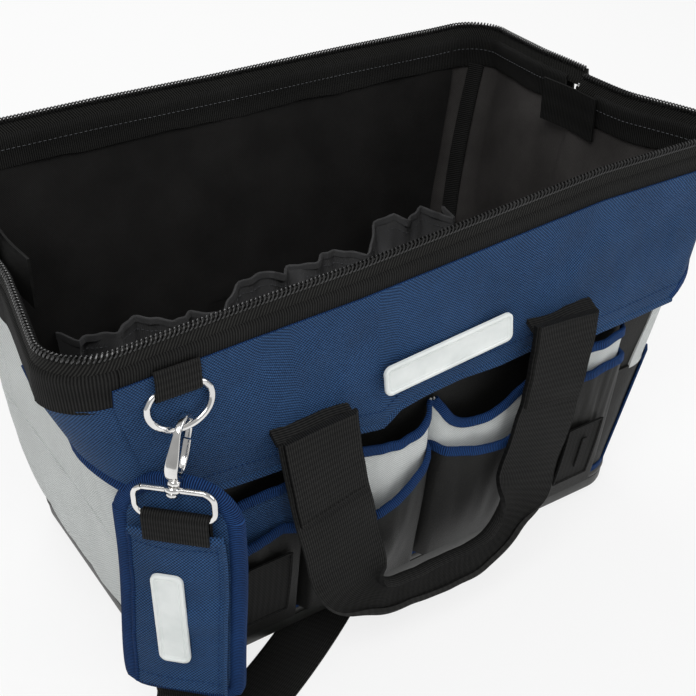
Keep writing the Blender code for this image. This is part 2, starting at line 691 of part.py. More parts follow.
def build_rivet(sign, name, finishes, parent):
    """Rivet on the front arm's eye: a shank with two flat heads."""
    head_x = EYE_HALF_THICKNESS + CLEARANCE
    tip_x = head_x + RIVET_HEAD_THICKNESS
    bm = bmesh.new()
    profile = ((-tip_x, RIVET_HEAD_RADIUS * RIVET_EDGE_SHARE),
               (-tip_x + RIVET_HEAD_THICKNESS / 2, RIVET_HEAD_RADIUS),
               (-head_x, RIVET_HEAD_RADIUS), (-head_x, RIVET_SHANK_RADIUS), (head_x, RIVET_SHANK_RADIUS),
               (head_x, RIVET_HEAD_RADIUS), (tip_x - RIVET_HEAD_THICKNESS / 2, RIVET_HEAD_RADIUS),
               (tip_x, RIVET_HEAD_RADIUS * RIVET_EDGE_SHARE))
    place = Vector((sign * eye_x(FRONT, sign), 0, BAR_HEIGHT))
    line = [bm.verts.new(place + Vector((x, 0, r))) for x, r in profile]
    edges = [bm.edges.new(pair) for pair in zip(line[:-1], line[1:])]
    bmesh.ops.spin(bm, geom=line + edges, cent=place, axis=(1, 0, 0), angle=2 * math.pi, steps=16,
                   use_merge=True)
    bmesh.ops.remove_doubles(bm, verts=bm.verts, dist=MERGE_DISTANCE)
    bmesh.ops.holes_fill(bm, edges=[edge for edge in bm.edges if edge.is_boundary], sides=0)
    return add_piece(name, bm, finishes["chrome"], parent)


def tape_section():
    """Upside-down U of the tape folded over the frame: (out, up) from the wire's centre."""
    outer = arc((0, 0), TAPE_OUTER, 0, 180, ARCH_STEPS)
    inner = arc((0, 0), TAPE_INNER, 180, 0, ARCH_STEPS)
    return [(TAPE_OUTER, -TAPE_DEPTH)] + outer + [(-TAPE_OUTER, -TAPE_DEPTH), (-TAPE_INNER, -TAPE_DEPTH)] \
        + inner + [(TAPE_INNER, -TAPE_DEPTH)]


def build_rim_tape(side, name, finishes, parent):
    """Tape over the straight bar, hanging down both faces of the long wall."""
    ends = [sign * (arm_x(side, sign) - FRAME_CORNER_RADIUS - CLEARANCE) for sign in (-1, 1)]
    rings = [[wall_point(side, x, FOLD_TO_BAR + up, out) for out, up in tape_section()] for x in ends]
    return add_piece(name, loft(rings), finishes["web"], parent)


def build_end_tape(side, sign, name, finishes, parent):
    """Tape over one corner and arm of a half frame, with its legs hanging down."""
    places, outs = frame_path(side, TAPE_END)
    count = len(places) // 2
    picked = range(count) if sign < 0 else range(count, 2 * count)
    ends = [(places[i], outs[i]) for i in picked]
    lean = math.tan(LEAN_ANGLE)
    rings = []
    for place, out in ends:
        share = abs(out.y)
        gap = Vector((sign * CLEARANCE, 0, 0)) if share > 0.999 else Vector()
        rings.append([place + gap + out * (a + u * lean * share) + Vector((0, 0, 1)) * u
                      for a, u in tape_section()])
    return add_piece(name, loft(rings), finishes["web"], parent)


def build_zip(side, name, finishes, parent):
    """Half of the zip: a narrow tape standing on the rim with the coil along its top edge."""
    places, outs = frame_path(side, ZIP_END)
    foot = TAPE_OUTER + CLEARANCE
    neck = ZIP_HEIGHT - ZIP_COIL_HEIGHT
    tape, coil = ZIP_TAPE_HALF, ZIP_COIL_HALF
    section = [(tape, foot), (tape, neck), (coil, neck + coil / 2), (coil, ZIP_HEIGHT), (-coil, ZIP_HEIGHT),
               (-coil, neck + coil / 2), (-tape, neck), (-tape, foot)]
    rings = [[p + o * a + Vector((0, 0, u)) for a, u in section] for p, o in zip(places, outs)]
    return add_piece(name, loft(rings), finishes["zip"], parent)


def build_slider(finishes, parent):
    """Zip slider parked on the front half's left end: a channel astride the coil."""
    inner = ZIP_COIL_HALF + CLEARANCE
    outer = inner + SLIDER_WALL
    roof = ZIP_HEIGHT + CLEARANCE
    low = ZIP_HEIGHT - ZIP_COIL_HEIGHT - CLEARANCE
    section = [(outer, low), (outer, roof + SLIDER_WALL), (-outer, roof + SLIDER_WALL), (-outer, low),
               (-inner, low), (-inner, roof), (inner, roof), (inner, low)]
    spots = (SLIDER_AT - SLIDER_LENGTH / 2, SLIDER_AT + SLIDER_LENGTH / 2)
    rings = [[Vector((-arm_x_at(FRONT, -1, y) - a, y, BAR_HEIGHT + u)) for a, u in section] for y in spots]
    return add_piece("zip_slider", loft(rings), finishes["chrome"], parent)


def build_pull(finishes, parent, axis_place):
    """Pull tab hanging from the slider's roof, with a wide eye at its top and a rounded tip."""
    outline = []
    for share, width in PULL_OUTLINE_SHARES:
        outline.append((PULL_HALF_WIDTH * width, -PULL_LENGTH * share))
    points = outline + [(-w, z) for w, z in outline[::-1]]
    rings = []
    for x in (-PULL_THICKNESS / 2, PULL_THICKNESS / 2):
        rings.append([Vector(axis_place) + Vector((x, w, z)) for w, z in points])
    return add_piece("zip_pull", loft(rings), finishes["chrome"], parent)


# Pockets and patches

def build_pouch(name, material, side, xs, zs, back, depths, wall, inside=False, parent=None):
    """Open-topped pocket lying on a long wall; depths are its thickness at the bottom and at the top."""
    def corner_ring(z, inset, depth):
        start = back + inset
        end = back + depth - inset
        flip = -1 if inside else 1
        near = side * (side_y(z) + flip * start)
        far = side * (side_y(z) + flip * end)
        low_x, high_x = xs[0] + inset, xs[1] - inset
        return [Vector((low_x, near, z)), Vector((high_x, near, z)),
                Vector((high_x - depth / 4, far, z)), Vector((low_x + depth / 4, far, z))]
    bottom, top = zs
    bm = bmesh.new()
    rows = [corner_ring(bottom, 0, depths[0]), corner_ring(top, 0, depths[1])]
    verts = [[bm.verts.new(point) for point in row] for row in rows]
    for j in range(4):
        k = (j + 1) % 4
        bm.faces.new((verts[0][j], verts[0][k], verts[1][k], verts[1][j]))
    bm.faces.new(verts[0])
    floor_z = bottom + (top - bottom) * POCKET_FLOOR_SHARE
    share = (floor_z - bottom) / (top - bottom)
    floor_depth = depths[0] + (depths[1] - depths[0]) * share
    mouth = [bm.verts.new(point) for point in corner_ring(top, wall, depths[1])]
    floor = [bm.verts.new(point) for point in corner_ring(floor_z, wall, floor_depth)]
    for j in range(4):
        k = (j + 1) % 4
        bm.faces.new((verts[1][j], verts[1][k], mouth[k], mouth[j]))
        bm.faces.new((mouth[j], mouth[k], floor[k], floor[j]))
    bm.faces.new(floor)
    return add_piece(name, bm, material, parent, smooth=False)


def rounded_plate(name, material, centre, across, up, width, height, radius, thickness, parent=None,
                  rim=0.0, sink=0.0):
    """Plate with rounded corners, standing out from centre; a rim leaves a shallow sunk field."""
    across, up = Vector(across).normalized(), Vector(up).normalized()
    out = across.cross(up)
    outline = rounded_outline(width / 2, height / 2, radius, 4)

    def place(points, depth):
        return [Vector(centre) + across * a + up * u + out * depth for a, u in points]
    rings = [place(outline, 0), place(outline, thickness)]
    if rim:
        field = rounded_outline(width / 2 - rim, height / 2 - rim, max(radius - rim, rim / 2), 4)
        rings += [place(field, thickness), place(field, thickness - sink)]
    return add_piece(name, loft(rings), material, parent, smooth=False)


def pocket_back_depth(z, top):
    """Thickness of the back row of pockets at height z."""
    share = (z - POCKET_BOTTOM) / (top - POCKET_BOTTOM)
    return BACK_POCKET_DEPTHS[0] + (BACK_POCKET_DEPTHS[1] - BACK_POCKET_DEPTHS[0]) * share


def build_pockets(finishes):
    """Two rows of pockets on the front and one row inside the rear wall."""
    names = ("a", "b", "c", "d")
    for i, tag in enumerate(names):
        xs = (POCKET_EDGES[i] + POCKET_GAP, POCKET_EDGES[i + 1] - POCKET_GAP)
        back = WALL_THICKNESS / 2 + CLEARANCE
        build_pouch(f"pocket_back_{tag}", finishes["grey"], FRONT, xs, (POCKET_BOTTOM, BACK_POCKET_TOPS[i]),
                    back, BACK_POCKET_DEPTHS, POCKET_WALL)
        front_back = back + BACK_POCKET_DEPTHS[0] + CLEARANCE
        reach = pocket_back_depth(FRONT_POCKET_TOPS[i], BACK_POCKET_TOPS[i]) - BACK_POCKET_DEPTHS[0]
        build_front_pouch(f"pocket_front_{tag}", finishes["black"], xs, FRONT_POCKET_TOPS[i], front_back,
                          reach)
    for i in range(len(INNER_POCKET_EDGES) - 1):
        xs = (INNER_POCKET_EDGES[i] + POCKET_GAP, INNER_POCKET_EDGES[i + 1] - POCKET_GAP)
        build_pouch(f"inner_pocket_{i + 1}", finishes["lining"], REAR, xs,
                    (INNER_POCKET_BOTTOM, INNER_POCKET_TOP), WALL_THICKNESS / 2 + CLEARANCE,
                    INNER_POCKET_DEPTHS, POCKET_WALL, inside=True)


def build_front_pouch(name, material, xs, top, back, reach):
    """Front pocket whose back follows the tapering pocket behind it."""
    def corner_ring(z, inset, depth):
        share = (z - POCKET_BOTTOM) / (top - POCKET_BOTTOM)
        start = side_y(z) + back + reach * share
        low_x, high_x = xs[0] + inset, xs[1] - inset
        near, far = -(start + inset), -(start + depth - inset)
        return [Vector((low_x, near, z)), Vector((high_x, near, z)),
                Vector((high_x - depth / 4, far, z)), Vector((low_x + depth / 4, far, z))]
    bottom = POCKET_BOTTOM
    floor_z = bottom + (top - bottom) * POCKET_FLOOR_SHARE
    floor_depth = FRONT_POCKET_DEPTHS[0] + (FRONT_POCKET_DEPTHS[1] - FRONT_POCKET_DEPTHS[0]) \
        * POCKET_FLOOR_SHARE
    rings = [corner_ring(floor_z, POCKET_WALL, floor_depth),
             corner_ring(top, POCKET_WALL, FRONT_POCKET_DEPTHS[1]),
             corner_ring(top, 0, FRONT_POCKET_DEPTHS[1]), corner_ring(bottom, 0, FRONT_POCKET_DEPTHS[0])]
    return add_piece(name, loft(rings), material, smooth=False)


def build_patches(finishes):
    """Stitched webbing patches on the two outer front pockets."""
    for tag, index in (("left", 0), ("right", 3)):
        low_x, high_x = POCKET_EDGES[index], POCKET_EDGES[index + 1]
        top = FRONT_POCKET_TOPS[index]
        reach = pocket_back_depth(top, BACK_POCKET_TOPS[index]) - BACK_POCKET_DEPTHS[0]
        growth = reach + FRONT_POCKET_DEPTHS[1] - FRONT_POCKET_DEPTHS[0]
        slope = SIDE_LEAN + growth / (top - POCKET_BOTTOM)
        share = (PATCH_CENTRE_HEIGHT - POCKET_BOTTOM) / (top - POCKET_BOTTOM)
        y = side_y(PATCH_CENTRE_HEIGHT) + WALL_THICKNESS / 2 + 3 * CLEARANCE + BACK_POCKET_DEPTHS[0] \
            + FRONT_POCKET_DEPTHS[0] + growth * share
        up = Vector((0, -slope, 1)).normalized()
        rounded_plate(f"pocket_patch_{tag}", finishes["web"], ((low_x + high_x) / 2, -y, PATCH_CENTRE_HEIGHT),
                      (1, 0, 0), up, PATCH_WIDTH, PATCH_HEIGHT, PATCH_THICKNESS, PATCH_THICKNESS)


def build_label(finishes, parent):
    """Bare white label plate on the front panel, with a raised rim."""
    along = wall_along(LABEL_CENTRE_Z)
    low, high = along - LABEL_HEIGHT / 2, along + LABEL_HEIGHT / 2
    a, b = (wall_point(FRONT, 0, s, WALL_THICKNESS / 2 + bulge(s)) for s in (low, high))
    up = (b - a).normalized()
    centre = wall_point(FRONT, LABEL_CENTRE_X, along, WALL_THICKNESS / 2 + bulge(along) + 3 * CLEARANCE)
    return rounded_plate("label_patch_front", finishes["label"], centre, (1, 0, 0), up, LABEL_LENGTH,
                         LABEL_HEIGHT, LABEL_RADIUS, LABEL_THICKNESS, parent, LABEL_RIM, LABEL_SINK)


# Handles

def build_handle(side, name, finishes, parent):
    """Carrying handle hanging down: two flat strips and a folded grip between them, in one plane."""
    route = [(HANDLE_LEFT_X, HANDLE_TOP), (HANDLE_LEFT_X + HANDLE_LEFT_DRIFT, HANDLE_SIDE_HEIGHT),
             (HANDLE_BOTTOM_LEFT_X, HANDLE_LEFT_TURN_HEIGHT),
             (HANDLE_BOTTOM_LEFT_X + HANDLE_LEFT_FOOT_SHIFT, HANDLE_LEFT_FOOT_HEIGHT),
             (HANDLE_BOTTOM_LEFT_X + HANDLE_MIDDLE_SHIFT, HANDLE_BOTTOM),
             (HANDLE_BOTTOM_RIGHT_X - HANDLE_RIGHT_FOOT_SHIFT, HANDLE_RIGHT_FOOT_HEIGHT),
             (HANDLE_BOTTOM_RIGHT_X, HANDLE_RIGHT_TURN_HEIGHT),
             (HANDLE_RIGHT_X - HANDLE_RIGHT_DRIFT, HANDLE_SIDE_HEIGHT), (HANDLE_RIGHT_X, HANDLE_TOP)]
    points = catmull([(x, 0, z) for x, z in route], 4)
    total = len(points) - 1
    rings = []
    plane = side * HANDLE_PLANE
    for i, (point, along) in enumerate(zip(points, tangents(points))):
        t = i / total
        grip = smooth_step((min(t, 1 - t) - GRIP_START_SHARE) / GRIP_EASE_SHARE)
        width = HANDLE_WEB_WIDTH + (HANDLE_GRIP_WIDTH - HANDLE_WEB_WIDTH) * grip
        thick = HANDLE_WEB_THICKNESS + (HANDLE_GRIP_THICKNESS - HANDLE_WEB_THICKNESS) * grip
        if i in (0, total):
            along = Vector((0, 0, -1)) if i == 0 else Vector((0, 0, 1))
        across = Vector((along.z, 0, -along.x))
        out = Vector((0, side, 0))
        sheet = [Vector((point.x, plane, point.z)) + across * a + out * (u + thick / 2)
                 for a, u in box_section(width / 2, thick / 2)]
        rings.append(sheet)
    return add_piece(name, loft(rings), finishes["web"], parent)


def build_anchor(side, x, name, finishes, parent):
    """Folded webbing end that comes out under the front panel's edge and holds a handle strip."""
    outer = HANDLE_PLANE - CLEARANCE
    z = HANDLE_TOP - ANCHOR_THICKNESS / 2
    along = wall_along(HANDLE_TOP - ANCHOR_THICKNESS)
    skin = abs(wall_point(side, 0, along, WALL_THICKNESS / 2 + bulge(along) + 4 * CLEARANCE).y)
    places = [Vector((x, side * skin, z)), Vector((x, side * outer, z))]
    section = box_section(HANDLE_WEB_WIDTH / 2, ANCHOR_THICKNESS / 2)
    acrosses, ups = [Vector((1, 0, 0))] * 2, [Vector((0, 0, 1))] * 2
    return add_piece(name, sweep(places, acrosses, ups, section), finishes["web"], parent, smooth=False)


# Rings, hooks and swivel loops; the rear set is the front one turned half round

def ring_place(x_shift, drop):
    """Point in the D-ring's plane, which leans out a little below its bar."""
    return Vector((RING_X + x_shift, RING_Y - drop * math.sin(RING_TILT),
                   RING_BAR_HEIGHT - drop * math.cos(RING_TILT)))


def turned(side, point):
    """The point itself for the front set, or turned half round about Z for the rear set."""
    return Vector(point) if side == FRONT else Vector((-point[0], -point[1], point[2]))


def build_tab(side, name, finishes, parent):
    """Webbing tab folded round the D-ring's bar."""
    radius = RING_WIRE_RADIUS + CLEARANCE + TAB_THICKNESS / 2
    places = [Vector((RING_X, RING_Y - radius, TAB_TOP))]
    places += [Vector((RING_X, RING_Y - y, z)) for y, z in arc((0, RING_BAR_HEIGHT), radius, 0, -180, 8)]
    places += [Vector((RING_X, RING_Y + radius, TAB_TOP))]
    bm = ribbon(places, [Vector((1, 0, 0))] * len(places), 2 * TAB_HALF_WIDTH, TAB_THICKNESS)
    for vert in bm.verts:
        vert.co = turned(side, vert.co)
    return add_piece(name, bm, finishes["web"], parent)


def tube(places, radius, sides, closed):
    """Round wire along a path that lies near one plane."""
    count = len(places)
    rings = []
    normal = (places[count // 3] - places[0]).cross(places[2 * count // 3] - places[0]).normalized()
    for i, place in enumerate(places):
        if closed:
            along = (places[(i + 1) % count] - places[i - 1]).normalized()
        else:
            along = (places[min(i + 1, count - 1)] - places[max(i - 1, 0)]).normalized()
        side_way = along.cross(normal).normalized()
        rings.append([place + side_way * a + normal * u for a, u in round_section(radius, sides)])
    return loft(rings, closed)


def build_dring(side, name, finishes, parent):
    """D-ring: a straight bar in the tab and a bowed part hanging below it."""
    half = RING_HALF_WIDTH
    places = [ring_place(-half * s, 0) for s in RING_BAR_SHARES]
    for i in range(RING_BOW_STEPS + 1):
        angle = math.radians(RING_BOW_START - RING_BOW_SWEEP * i / RING_BOW_STEPS)
        x = half * math.cos(angle) * RING_BOW_WIDTH_SHARE
        bow = RING_BOW_DEPTH_SHARE * (1 if math.sin(angle) < 0 else RING_SHOULDER_SHARE)
        drop = RING_DROP * (RING_BOW_MIDDLE_SHARE - bow * math.sin(angle))
        places.append(ring_place(x, drop))
    places = [turned(side, p) for p in places]
    return add_piece(name, tube(places, RING_WIRE_RADIUS, 8, True), finishes["chrome"], parent)


def yawed(across, out, z):
    """Point from its distances along the strap's two yawed directions."""
    _, w, n, _ = strap_axes()
    place = w * across + n * out
    return Vector((place.x, place.y, z))


def strap_axes():
    """Crown of the hook and the yawed axes: w across the strap, n out of its face, up."""
    w = Vector((math.cos(HOOK_YAW), -math.sin(HOOK_YAW), 0))
    n = Vector((-math.sin(HOOK_YAW), -math.cos(HOOK_YAW), 0))
    return ring_place(0, RING_DROP), w, n, Vector((0, 0, 1))


def shank_axis():
    """Direction up the shank, from the swivel loop's top bar to the ring."""
    crown = strap_axes()[0]
    return (crown - yawed(LOOP_TOP_ACROSS, LOOP_TOP_OUT, LOOP_TOP_HEIGHT)).normalized()


def shank_length():
    """Distance from the ring's wire to the swivel loop's top bar."""
    return (strap_axes()[0] - yawed(LOOP_TOP_ACROSS, LOOP_TOP_OUT, LOOP_TOP_HEIGHT)).length


def shank_axes():
    """Axes square to the leaning shank: across the hook's flat face and out of it."""
    _, w, n, _ = strap_axes()
    axis = shank_axis()
    w = (w - axis * w.dot(axis)).normalized()
    return w, w.cross(axis) * (1 if w.cross(axis).dot(n) > 0 else -1), axis


def hook_place(w_shift, n_shift, up_shift):
    """Point from the hook's crown: across, out and up along the leaning shank."""
    w, n, axis = shank_axes()
    return strap_axes()[0] + w * w_shift + n * n_shift + axis * up_shift


def build_hook(side, name, finishes, parent):
    """Snap hook: flat stock bent over the ring, down the front and in to a foot with the swivel pin."""
    radius = HOOK_INNER_RADIUS + HOOK_STOCK / 2
    foot = collar_foot() + COLLAR_HEIGHT
    path = [(-radius, -HOOK_CROWN_DROP - HOOK_TIP_LENGTH)]
    path += [(n, u) for n, u in arc((0, -HOOK_CROWN_DROP), radius, 180, 0, 8)]
    knee, rise = HOOK_KNEE_SHARES
    heel, heel_rise = HOOK_HEEL_SHARES
    path += [(radius, -HOOK_CROWN_DROP - HOOK_FRONT_LENGTH), (radius * knee, foot + HOOK_BASE_HEIGHT * rise),
             (radius * heel, foot + HOOK_BASE_HEIGHT * heel_rise), (0, foot + HOOK_STOCK / 3),
             (-radius * HOOK_FOOT_SHARE, foot + HOOK_STOCK / 3)]
    last = len(path) - 1
    rings = []
    for i, (n, u) in enumerate(path):
        before, after = path[max(i - 1, 0)], path[min(i + 1, last)]
        way = Vector((after[0] - before[0], after[1] - before[1])).normalized()
        wide = HOOK_CROWN_SHARE + (1 - HOOK_CROWN_SHARE) * smooth_step((i - 8) / (last - 10))
        half_wide, thick = HOOK_HALF_WIDTH * wide, HOOK_STOCK / 2
        ring = []
        low, flat = HOOK_EDGE_SHARES
        for a, b in ((-1, -low), (-flat, -1), (flat, -1), (1, -low),
                     (1, low), (flat, 1), (-flat, 1), (-1, low)):
            ring.append(turned(side, hook_place(a * half_wide, n + way.y * b * thick, u - way.x * b * thick)))
        rings.append(ring)
    hook = add_piece(name, loft(rings), finishes["chrome"], parent)
    cutter = add_piece(f"{name}_pin", pin_shape(side), finishes["chrome"], parent)
    cutter.hide_render = True
    cutter.display_type = "WIRE"
    step = hook.modifiers.new("pin", "BOOLEAN")
    step.operation = "UNION"
    step.object = cutter
    return hook


def lathe(side, profile, sides=16):
    """Turned solid about the shank's axis; the profile is (radius, height from the crown)."""
    rings = []
    for radius, height in profile:
        rings.append([turned(side, hook_place(radius * math.cos(2 * math.pi * i / sides),
                                              radius * math.sin(2 * math.pi * i / sides), height))
                      for i in range(sides)])
    return loft(rings)


def collar_foot():
    """Height of the collar's lower face from the crown."""
    return -shank_length() + LOOP_WIRE_RADIUS + 2 * CLEARANCE


def pin_shape(side):
    """Swivel pin under the hook: a collar, a shank through the loop's eye and a round head."""
    collar = collar_foot()
    top = collar + COLLAR_HEIGHT + HOOK_STOCK / 3
    pin = collar - 2 * LOOP_WIRE_RADIUS - 4 * CLEARANCE
    head = pin - PIN_HEAD_THICKNESS
    profile = ((COLLAR_RADIUS * COLLAR_TOP_SHARE, top), (COLLAR_RADIUS, top - COLLAR_CHAMFER),
               (COLLAR_RADIUS, collar), (PIN_RADIUS, collar), (PIN_RADIUS, pin), (PIN_HEAD_RADIUS, pin),
               (PIN_HEAD_RADIUS, head), (PIN_HEAD_RADIUS / 2, head - PIN_DOME_HEIGHT))
    return lathe(side, profile)


def loop_frame():
    """Middle of the loop's top bar and the loop's own axes; it hangs plumb and yawed like the strap."""
    _, w, n, up = strap_axes()
    return yawed(LOOP_TOP_ACROSS, LOOP_TOP_OUT, LOOP_TOP_HEIGHT), w, n, up


def build_loop(side, name, finishes, parent):
    """Flat oval wire loop with a pierced boss on the swivel pin."""
    middle, w, n, up = loop_frame()
    path = []
    corners = ((1, 1, LOOP_TOP_RADIUS, 90), (1, -1, LOOP_LOW_RADIUS, 0), (-1, -1, LOOP_LOW_RADIUS, -90),
               (-1, 1, LOOP_TOP_RADIUS, -180))
    for across, rise, radius, start in corners:
        centre = (across * (LOOP_HALF_WIDTH - radius), -radius if rise > 0 else -LOOP_HEIGHT + radius)
        path += arc(centre, radius, start, start - 90, 4)
        if across > 0 > rise or (across < 0 < rise):
            path += [(share * (LOOP_HALF_WIDTH - radius) * across, path[-1][1])
                     for share in (LOOP_BAR_SHARE, -LOOP_BAR_SHARE)]
    places = [turned(side, middle + w * a + up * b) for a, b in path]
    loop = add_piece(name, tube(places, LOOP_WIRE_RADIUS, 8, True), finishes["chrome"], parent)
    boss_half = LOOP_WIRE_RADIUS * LOOP_BOSS_SHARE
    height = -shank_length()
    boss = lathe(side, ((LOOP_EYE_RADIUS, height - boss_half), (LOOP_EYE_RADIUS, height + boss_half)))
    drill_radius = PIN_RADIUS + CLEARANCE
    drill = lathe(side, ((drill_radius, height - 3 * boss_half), (drill_radius, height + 3 * boss_half)))
    for tag, shape, operation in (("boss", boss, "UNION"), ("bore", drill, "DIFFERENCE")):
        cutter = add_piece(f"{name}_{tag}", shape, finishes["chrome"], parent)
        cutter.hide_render = True
        cutter.display_type = "WIRE"
        step = loop.modifiers.new(tag, "BOOLEAN")
        step.operation = operation
        step.object = cutter
    return loop


def gate_foot():
    """Height of the gate's foot from the crown, just above the hook's own foot."""
    return collar_foot() + COLLAR_HEIGHT + HOOK_STOCK + 2 * CLEARANCE


def gate_axis():
    """Place of the gate's pivot, at the foot of the hook's back."""
    return hook_place(0, -(HOOK_INNER_RADIUS + HOOK_STOCK / 2) / 2, gate_foot())


def build_gate(side, name, finishes, parent):
    """Spring gate closing the hook's back, from its pivot up to the hook's tip."""
    radius = HOOK_INNER_RADIUS + HOOK_STOCK / 2
    tip = -HOOK_CROWN_DROP - HOOK_TIP_LENGTH - GATE_TIP_GAP
    low = gate_foot()
    path = [(-radius, tip), (-radius, (tip + low) / 2), (-radius * GATE_KNEE_SHARE, low + GATE_KNEE_HEIGHT),
            (-radius * HOOK_FOOT_SHARE, low)]
    rings = []
    for n, u in path:
        rings.append([turned(side, hook_place(a, n + b, u)) for a, b in
                      box_section(HOOK_HALF_WIDTH * GATE_WIDTH_SHARE, HOOK_STOCK * GATE_THICKNESS_SHARE)])
    return add_piece(name, loft(rings), finishes["chrome"], parent, smooth=False)


# Shoulder strap

def pad_frame():
    """Middle of the pad in plan, its width direction and its outward direction."""
    w = Vector((math.cos(HOOK_YAW), -math.sin(HOOK_YAW), 0))
    n = Vector((-math.sin(HOOK_YAW), -math.cos(HOOK_YAW), 0))
    return yawed(PAD_ACROSS, PAD_OUT, 0), w, n


def build_pad(finishes):
    """Padded sleeve with an arched top and a soft rounded edge all round."""
    centre, w, n = pad_frame()
    half = PAD_WIDTH / 2
    arch_z = PAD_TOP - half * PAD_ARCH_SHARE
    outline = [(half * math.cos(math.radians(a)), arch_z + half * PAD_ARCH_SHARE * math.sin(math.radians(a)))
               for a in range(0, 181, 15)]
    foot = half * PAD_FOOT_SHARE
    outline += [(-half, PAD_BOTTOM + foot), (-half + foot, PAD_BOTTOM), (half - foot, PAD_BOTTOM),
                (half, PAD_BOTTOM + foot)]
    middle_z = (PAD_TOP + PAD_BOTTOM) / 2
    rings = []
    for inset, depth in ((PAD_EDGE_INSET_SHARE, -0.5), (0.0, -PAD_EDGE_DEPTH_SHARE),
                         (0.0, PAD_EDGE_DEPTH_SHARE), (PAD_EDGE_INSET_SHARE, 0.5)):
        scale_x = 1 - inset
        scale_z = 1 - inset * PAD_WIDTH / (PAD_TOP - PAD_BOTTOM)
        rings.append([centre + w * (a * scale_x) + n * (depth * PAD_THICKNESS)
                      + Vector((0, 0, middle_z + (z - middle_z) * scale_z)) for a, z in outline])
    return add_piece("shoulder_pad", loft(rings), finishes["blue"])


def build_pad_label(finishes):
    """Bare white label on the pad."""
    centre, w, n = pad_frame()
    place = centre + n * (PAD_THICKNESS / 2 + 3 * CLEARANCE) + Vector((0, 0, PAD_LABEL_CENTRE_HEIGHT))
    up = Vector((0, 0, 1))
    rounded_plate("label_patch_pad", finishes["label"], place, w, up, PAD_LABEL_WIDTH, PAD_LABEL_HEIGHT,
                  LABEL_RADIUS, LABEL_THICKNESS, None, LABEL_RIM, LABEL_SINK)


def build_loop_webbing(side, name, finishes, parent):
    """Webbing folded round the swivel loop's lower bar, its two layers hanging together below."""
    middle, w, n, up = loop_frame()
    bar = middle - up * LOOP_HEIGHT
    radius = LOOP_WIRE_RADIUS + CLEARANCE + WEB_THICKNESS / 2
    path = [(radius, -LOOP_WEB_DROP), (radius, -LOOP_WEB_DROP / 2)] + arc((0, 0), radius, 0, 180, 8)
    path += [(-radius, -LOOP_WEB_DROP / 2), (-radius, -LOOP_WEB_DROP)]
    places = [turned(side, bar + n * a + up * b) for a, b in path]
    across = [turned(side, w)] * len(places)
    return add_piece(name, ribbon(places, across, LOOP_WEB_WIDTH, WEB_THICKNESS), finishes["web"], parent)


def slack_route():
    """Slack of the strap: out of the pad's foot, round a soft bend and back along the floor."""
    centre, w, n = pad_frame()
    floor = STRAP_SKIM + WEB_THICKNESS / 2
    heading = Vector((math.cos(STRAP_RETURN_HEADING), math.sin(STRAP_RETURN_HEADING), 0))
    top = centre + Vector((0, 0, PAD_BOTTOM - CLEARANCE))
    turn = Vector((*STRAP_RETURN, 0)) - heading * SLACK_REACH
    points = [top, top - Vector((0, 0, SLACK_FALL))]
    points += [centre + n * out + Vector((0, 0, z)) for out, z in SLACK_BENDS]
    points += [turn + n * out + Vector((0, 0, z)) for out, z in SLACK_TURNS]
    points += [turn + heading * along + Vector((0, 0, floor)) for along in SLACK_LANDINGS]
    places = catmull(points, 3)
    side_way = Vector((heading.y, -heading.x, 0))
    last = len(places) - 1
    acrosses = []
    for i in range(last + 1):
        t = smooth_step((i / last - SLACK_TWIST_SHARES[0]) / SLACK_TWIST_SHARES[1])
        acrosses.append((w * (1 - t) + side_way * t).normalized())
    return places, acrosses


def floor_route():
    """Middle line of the strap along the floor, under the tray from the front to the rear corner."""
    start_way = Vector((math.cos(STRAP_RETURN_HEADING), math.sin(STRAP_RETURN_HEADING), 0))
    end_way = Vector((math.cos(STRAP_EXIT_HEADING), math.sin(STRAP_EXIT_HEADING), 0))
    start = Vector((*STRAP_RETURN, 0)) - start_way * (FLOOR_START - CLEARANCE)
    end = turned(REAR, yawed(PAD_ACROSS, PAD_OUT, 0)) - end_way * FLOOR_END
    pull = (end - start).length
    places = []
    for i in range(STRAP_STEPS + 1):
        t = i / STRAP_STEPS
        a, b = 2 * t ** 3 - 3 * t ** 2 + 1, t ** 3 - 2 * t ** 2 + t
        c, d = -2 * t ** 3 + 3 * t ** 2, t ** 3 - t ** 2
        place = start * a + start_way * pull * b + end * c + end_way * pull * d
        place.z = STRAP_SKIM + WEB_THICKNESS / 2
        places.append(place)
    return places, end_way


def build_strap_run(finishes):
    """Strap from the pad's foot round its slack and flat under the tray to the rear corner."""
    slack, slack_acrosses = slack_route()
    places, _ = floor_route()
    acrosses = [Vector((way.y, -way.x, 0)) for way in tangents(places)]
    bm = ribbon(slack + places[1:], slack_acrosses + acrosses[1:], WEB_WIDTH, WEB_THICKNESS)
    return add_piece("strap_floor_run", bm, finishes["web"])


def build_strap_rear(finishes):
    """Strap rising from the floor behind the rear right corner to the second hook."""
    places, way = floor_route()
    middle, w, n, up = loop_frame()
    bar = turned(REAR, middle - up * LOOP_HEIGHT)
    out = turned(REAR, n)
    across = turned(REAR, w)
    end = places[-1] + way * 4 * CLEARANCE
    column = Vector((bar.x, bar.y, 0))
    points = [end, end + way * RISE_START]
    points += [column + out * away + Vector((0, 0, z)) for away, z in RISE_BENDS]
    points += [column + out * RISE_TOP_OUT + Vector((0, 0, bar.z - LOOP_WEB_DROP - 1.5 * CLEARANCE))]
    curve = catmull(points, 4)
    for place in curve:
        place.z = max(place.z, end.z)
    first_across = Vector((way.y, -way.x, 0))
    last = len(curve) - 1
    acrosses = []
    sense = -1 if first_across.dot(across) < 0 else 1
    for i in range(last + 1):
        t = smooth_step(i / last)
        acrosses.append((first_across * (1 - t) + across * sense * t).normalized())
    add_piece("strap_rise_rear", ribbon(curve, acrosses, WEB_WIDTH, WEB_THICKNESS), finishes["web"])
    return curve, acrosses


